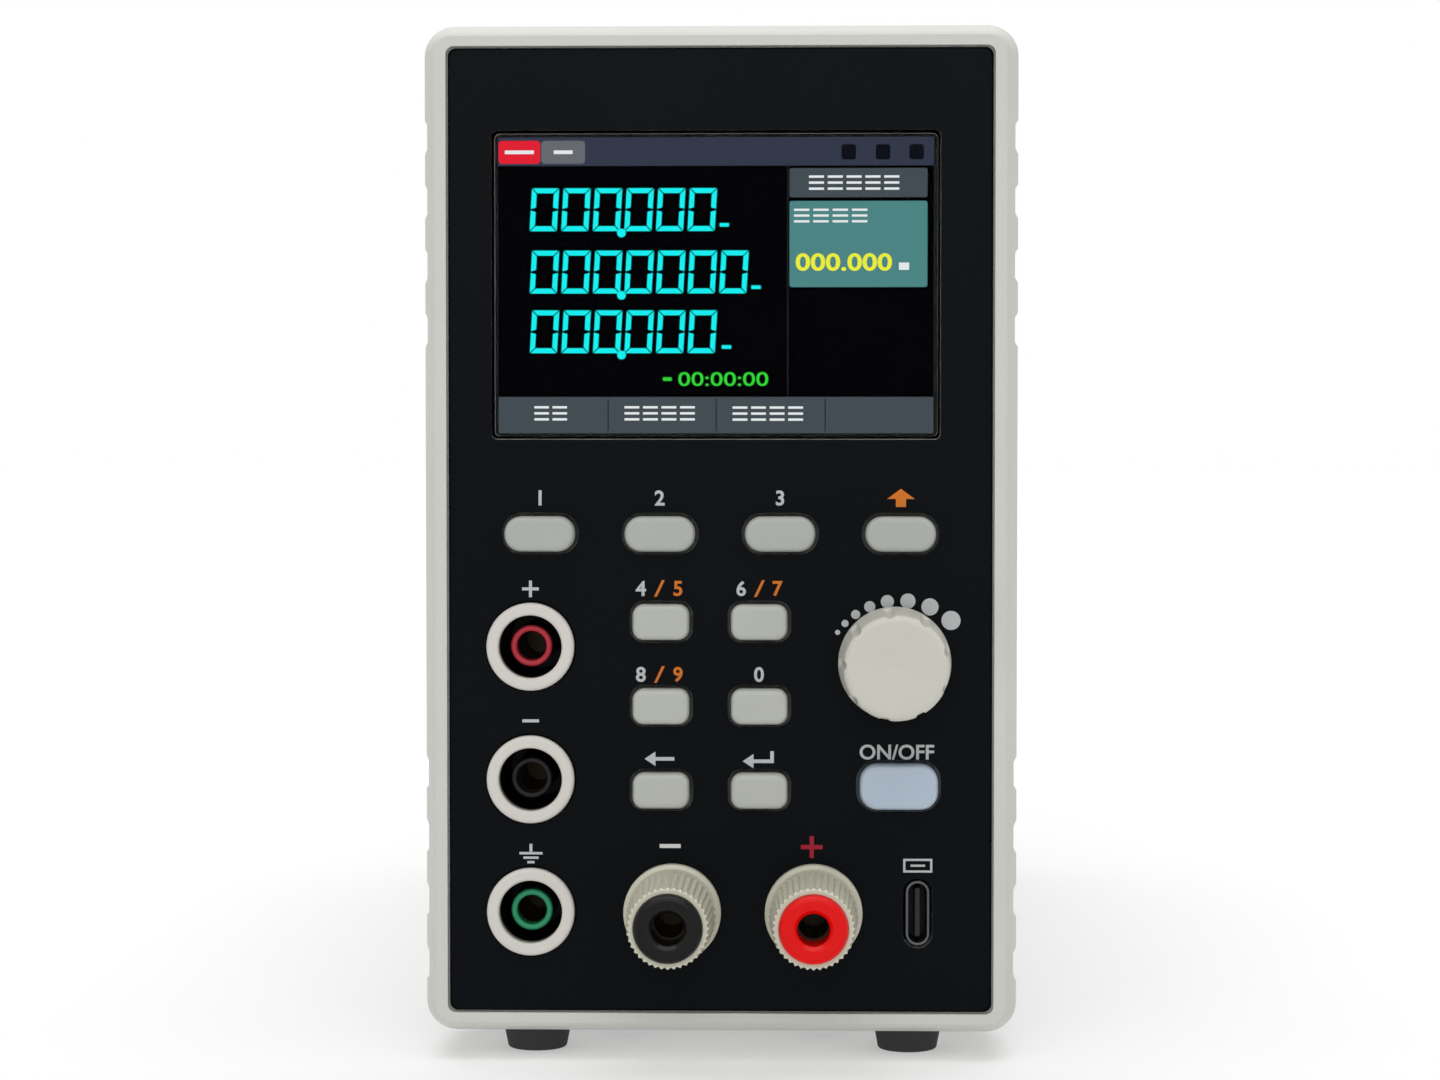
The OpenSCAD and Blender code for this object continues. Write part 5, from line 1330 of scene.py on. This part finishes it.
@dataclass
class MainsInlet(SubAssembly):
    """The mains inlet with its fuse drawer and its rocker, which bears a bar and a ring."""

    mark_h: float = 4.4
    stroke: float = 0.7
    sunk: float = 0.01
    thickness: float = 0.05
    facets: int = 40
    facing: float = 0.7

    wears = {
        "inlet_block": Finishes.black,
        "inlet_pins": Finishes.nickel,
        "fuse_drawer": Finishes.black,
        "power_rocker": Finishes.black,
    }

    def half(self, side: int) -> Matrix:
        """Find one half of the rocker's face.

        Args:
            side: -1 for the half towards -X, 1 for the other.

        Returns:
            A frame at the half's middle, with its Y along the outward normal and its Z up.
        """
        middle, normal, total = Vector(), Vector(), 0.0
        for face in frame["nodes"]["power_rocker"].data.polygons:
            if face.normal.y > self.facing and face.center.x * side > 0:
                middle += face.center * face.area
                normal += face.normal * face.area
                total += face.area
        normal.normalize()
        up = Vector((0, 0, 1))
        turn = Matrix((normal.cross(up), normal, up)).transposed().to_4x4()
        return Matrix.Translation(middle / total - normal * self.sunk * MM) @ turn

    def pieces(self) -> None:
        """Make the bar and the ring on the rocker as one piece."""
        bm = bmesh.new()
        thick, tall, stroke = self.thickness * MM, self.mark_h * MM, self.stroke * MM
        bar = Matrix.Translation((0, thick / 2, 0)) @ Matrix.Diagonal((stroke, thick, tall, 1))
        bmesh.ops.create_cube(bm, size=1.0, matrix=self.half(-1) @ bar)
        place = self.half(1)
        outer, inner = tall / 2, tall / 2 - stroke
        turns = [2 * math.pi * i / self.facets for i in range(self.facets)]
        loops: list[list[bmesh.types.BMVert]] = []
        for radius, rise in ((outer, 0.0), (outer, thick), (inner, thick), (inner, 0.0)):
            spots = [place @ Vector((radius * math.cos(a), rise, radius * math.sin(a))) for a in turns]
            loops.append([bm.verts.new(spot) for spot in spots])
        for low, high in zip(loops, loops[1:] + loops[:1]):
            for i in range(self.facets):
                j = (i + 1) % self.facets
                bm.faces.new((low[i], low[j], high[j], high[i]))
        make_piece("rocker_marks", bm, Finishes.ink_white, Body.ROCKER)


class PowerStage(SubAssembly):
    """The heatsink with its transistors, the power board and the transformer."""

    wears = {
        "heatsink": Finishes.aluminium,
        "heatsink_brackets": Finishes.zinc,
        "power_transistors": Finishes.black,
        "power_board": Finishes.board,
        "transformer": Finishes.core_iron,
    }


@dataclass(frozen=True)
class Lamp:
    """A broad far light, so the floor is as bright everywhere."""

    name: str
    source: Triple
    spread_deg: float
    strength: float

    def hang(self) -> None:
        """Hang the lamp so that it shines from its source to the object."""
        data = bpy.data.lights.new(self.name, "SUN")
        data.angle, data.energy = math.radians(self.spread_deg), self.strength
        lamp = bpy.data.objects.new(self.name, data)
        lamp.location = Vector(self.source)
        lamp.rotation_euler = (-Vector(self.source)).to_track_quat("-Z", "Y").to_euler()
        bpy.context.scene.collection.objects.link(lamp)


@dataclass
class Studio:
    """The camera of the photograph, a pale floor and plain soft light."""

    space: PanelSpace
    eye_mm: Triple = (12.3, -466.45, 14.55)
    pitch_deg: float = 1.927
    yaw_deg: float = 1.512
    focal_px: float = 3400.0
    image_w_px: int = 1440
    sensor_mm: float = 36.0
    clip: Point = (0.01, 50.0)
    soft_light: float = 0.3
    floor_half: float = 6.0
    floor_cells: int = 8
    floor_glow: float = 0.36
    lamps: tuple[Lamp, ...] = (
        Lamp("key_light", (-0.05, -1.0, 0.7), 60.0, 0.98),
        Lamp("top_light", (0.0, 0.1, 1.0), 70.0, 2.2),
    )

    def camera(self) -> None:
        """Place the camera where the photograph was taken from."""
        data = bpy.data.cameras.new("photo_camera")
        data.sensor_fit, data.sensor_width = "HORIZONTAL", self.sensor_mm
        data.lens = self.focal_px * self.sensor_mm / self.image_w_px
        data.clip_start, data.clip_end = self.clip
        eye = bpy.data.objects.new("photo_camera", data)
        x, y, z = self.eye_mm
        eye.location = self.space.at(x, z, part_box("front_sheet")[0].y + y * MM)
        eye.rotation_euler = (math.radians(90 - self.pitch_deg), 0, math.radians(self.yaw_deg))
        bpy.context.scene.collection.objects.link(eye)
        bpy.context.scene.camera = eye

    def world(self) -> None:
        """Light the scene from all round, with a white ground for what the camera, metal and glass see."""
        world = bpy.data.worlds.new("studio_world")
        world.use_nodes = True
        bpy.context.scene.world = world
        work = Wiring(world.node_tree)
        world.node_tree.nodes.clear()
        soft = work.node("ShaderNodeBackground", Color=WHITE, Strength=self.soft_light)
        seen = work.node("ShaderNodeBackground", Color=WHITE)
        rays = work.node("ShaderNodeLightPath").outputs
        direct = work.maths("MAXIMUM", rays["Is Camera Ray"], rays["Is Glossy Ray"])
        share = work.maths("MAXIMUM", direct, rays["Is Transmission Ray"])
        mix = work.ordered("ShaderNodeMixShader", share, soft.outputs[0], seen.outputs[0])
        work.ordered("ShaderNodeOutputWorld", mix.outputs[0])

    def floor(self) -> None:
        """Lay the pale floor under the feet."""
        bm = bmesh.new()
        cells = self.floor_cells
        bmesh.ops.create_grid(bm, x_segments=cells, y_segments=cells, size=self.floor_half)
        mesh = bpy.data.meshes.new("studio_floor")
        bm.to_mesh(mesh)
        bm.free()
        material = Finishes.floor.material()
        shader = material.node_tree.nodes["Principled BSDF"]
        shader.inputs["Emission Color"].default_value = WHITE
        shader.inputs["Emission Strength"].default_value = self.floor_glow
        mesh.materials.append(material)
        ground = bpy.data.objects.new("studio_floor", mesh)
        bpy.context.scene.collection.objects.link(ground)

    def build(self) -> None:
        """Set up the camera, the world, the floor and the lamps."""
        bpy.context.scene.view_settings.view_transform = "Standard"
        self.camera()
        self.world()
        self.floor()
        for lamp in self.lamps:
            lamp.hang()


def main() -> None:
    """Build the studio, dress the frame and make the pieces that only the scene has."""
    logging.basicConfig(level=logging.INFO, format="%(message)s")
    space = PanelSpace.of_sheet()
    Studio(space).build()
    parts: list[SubAssembly] = [
        Frames(), Display(space), FrontPanel(space), Keypad(), Encoder(), Jacks(), BindingPosts(), Case(),
        Fan(), MainsInlet(), PowerStage(),
    ]
    for part in parts:
        part.build()


if __name__ == "__main__":
    main()
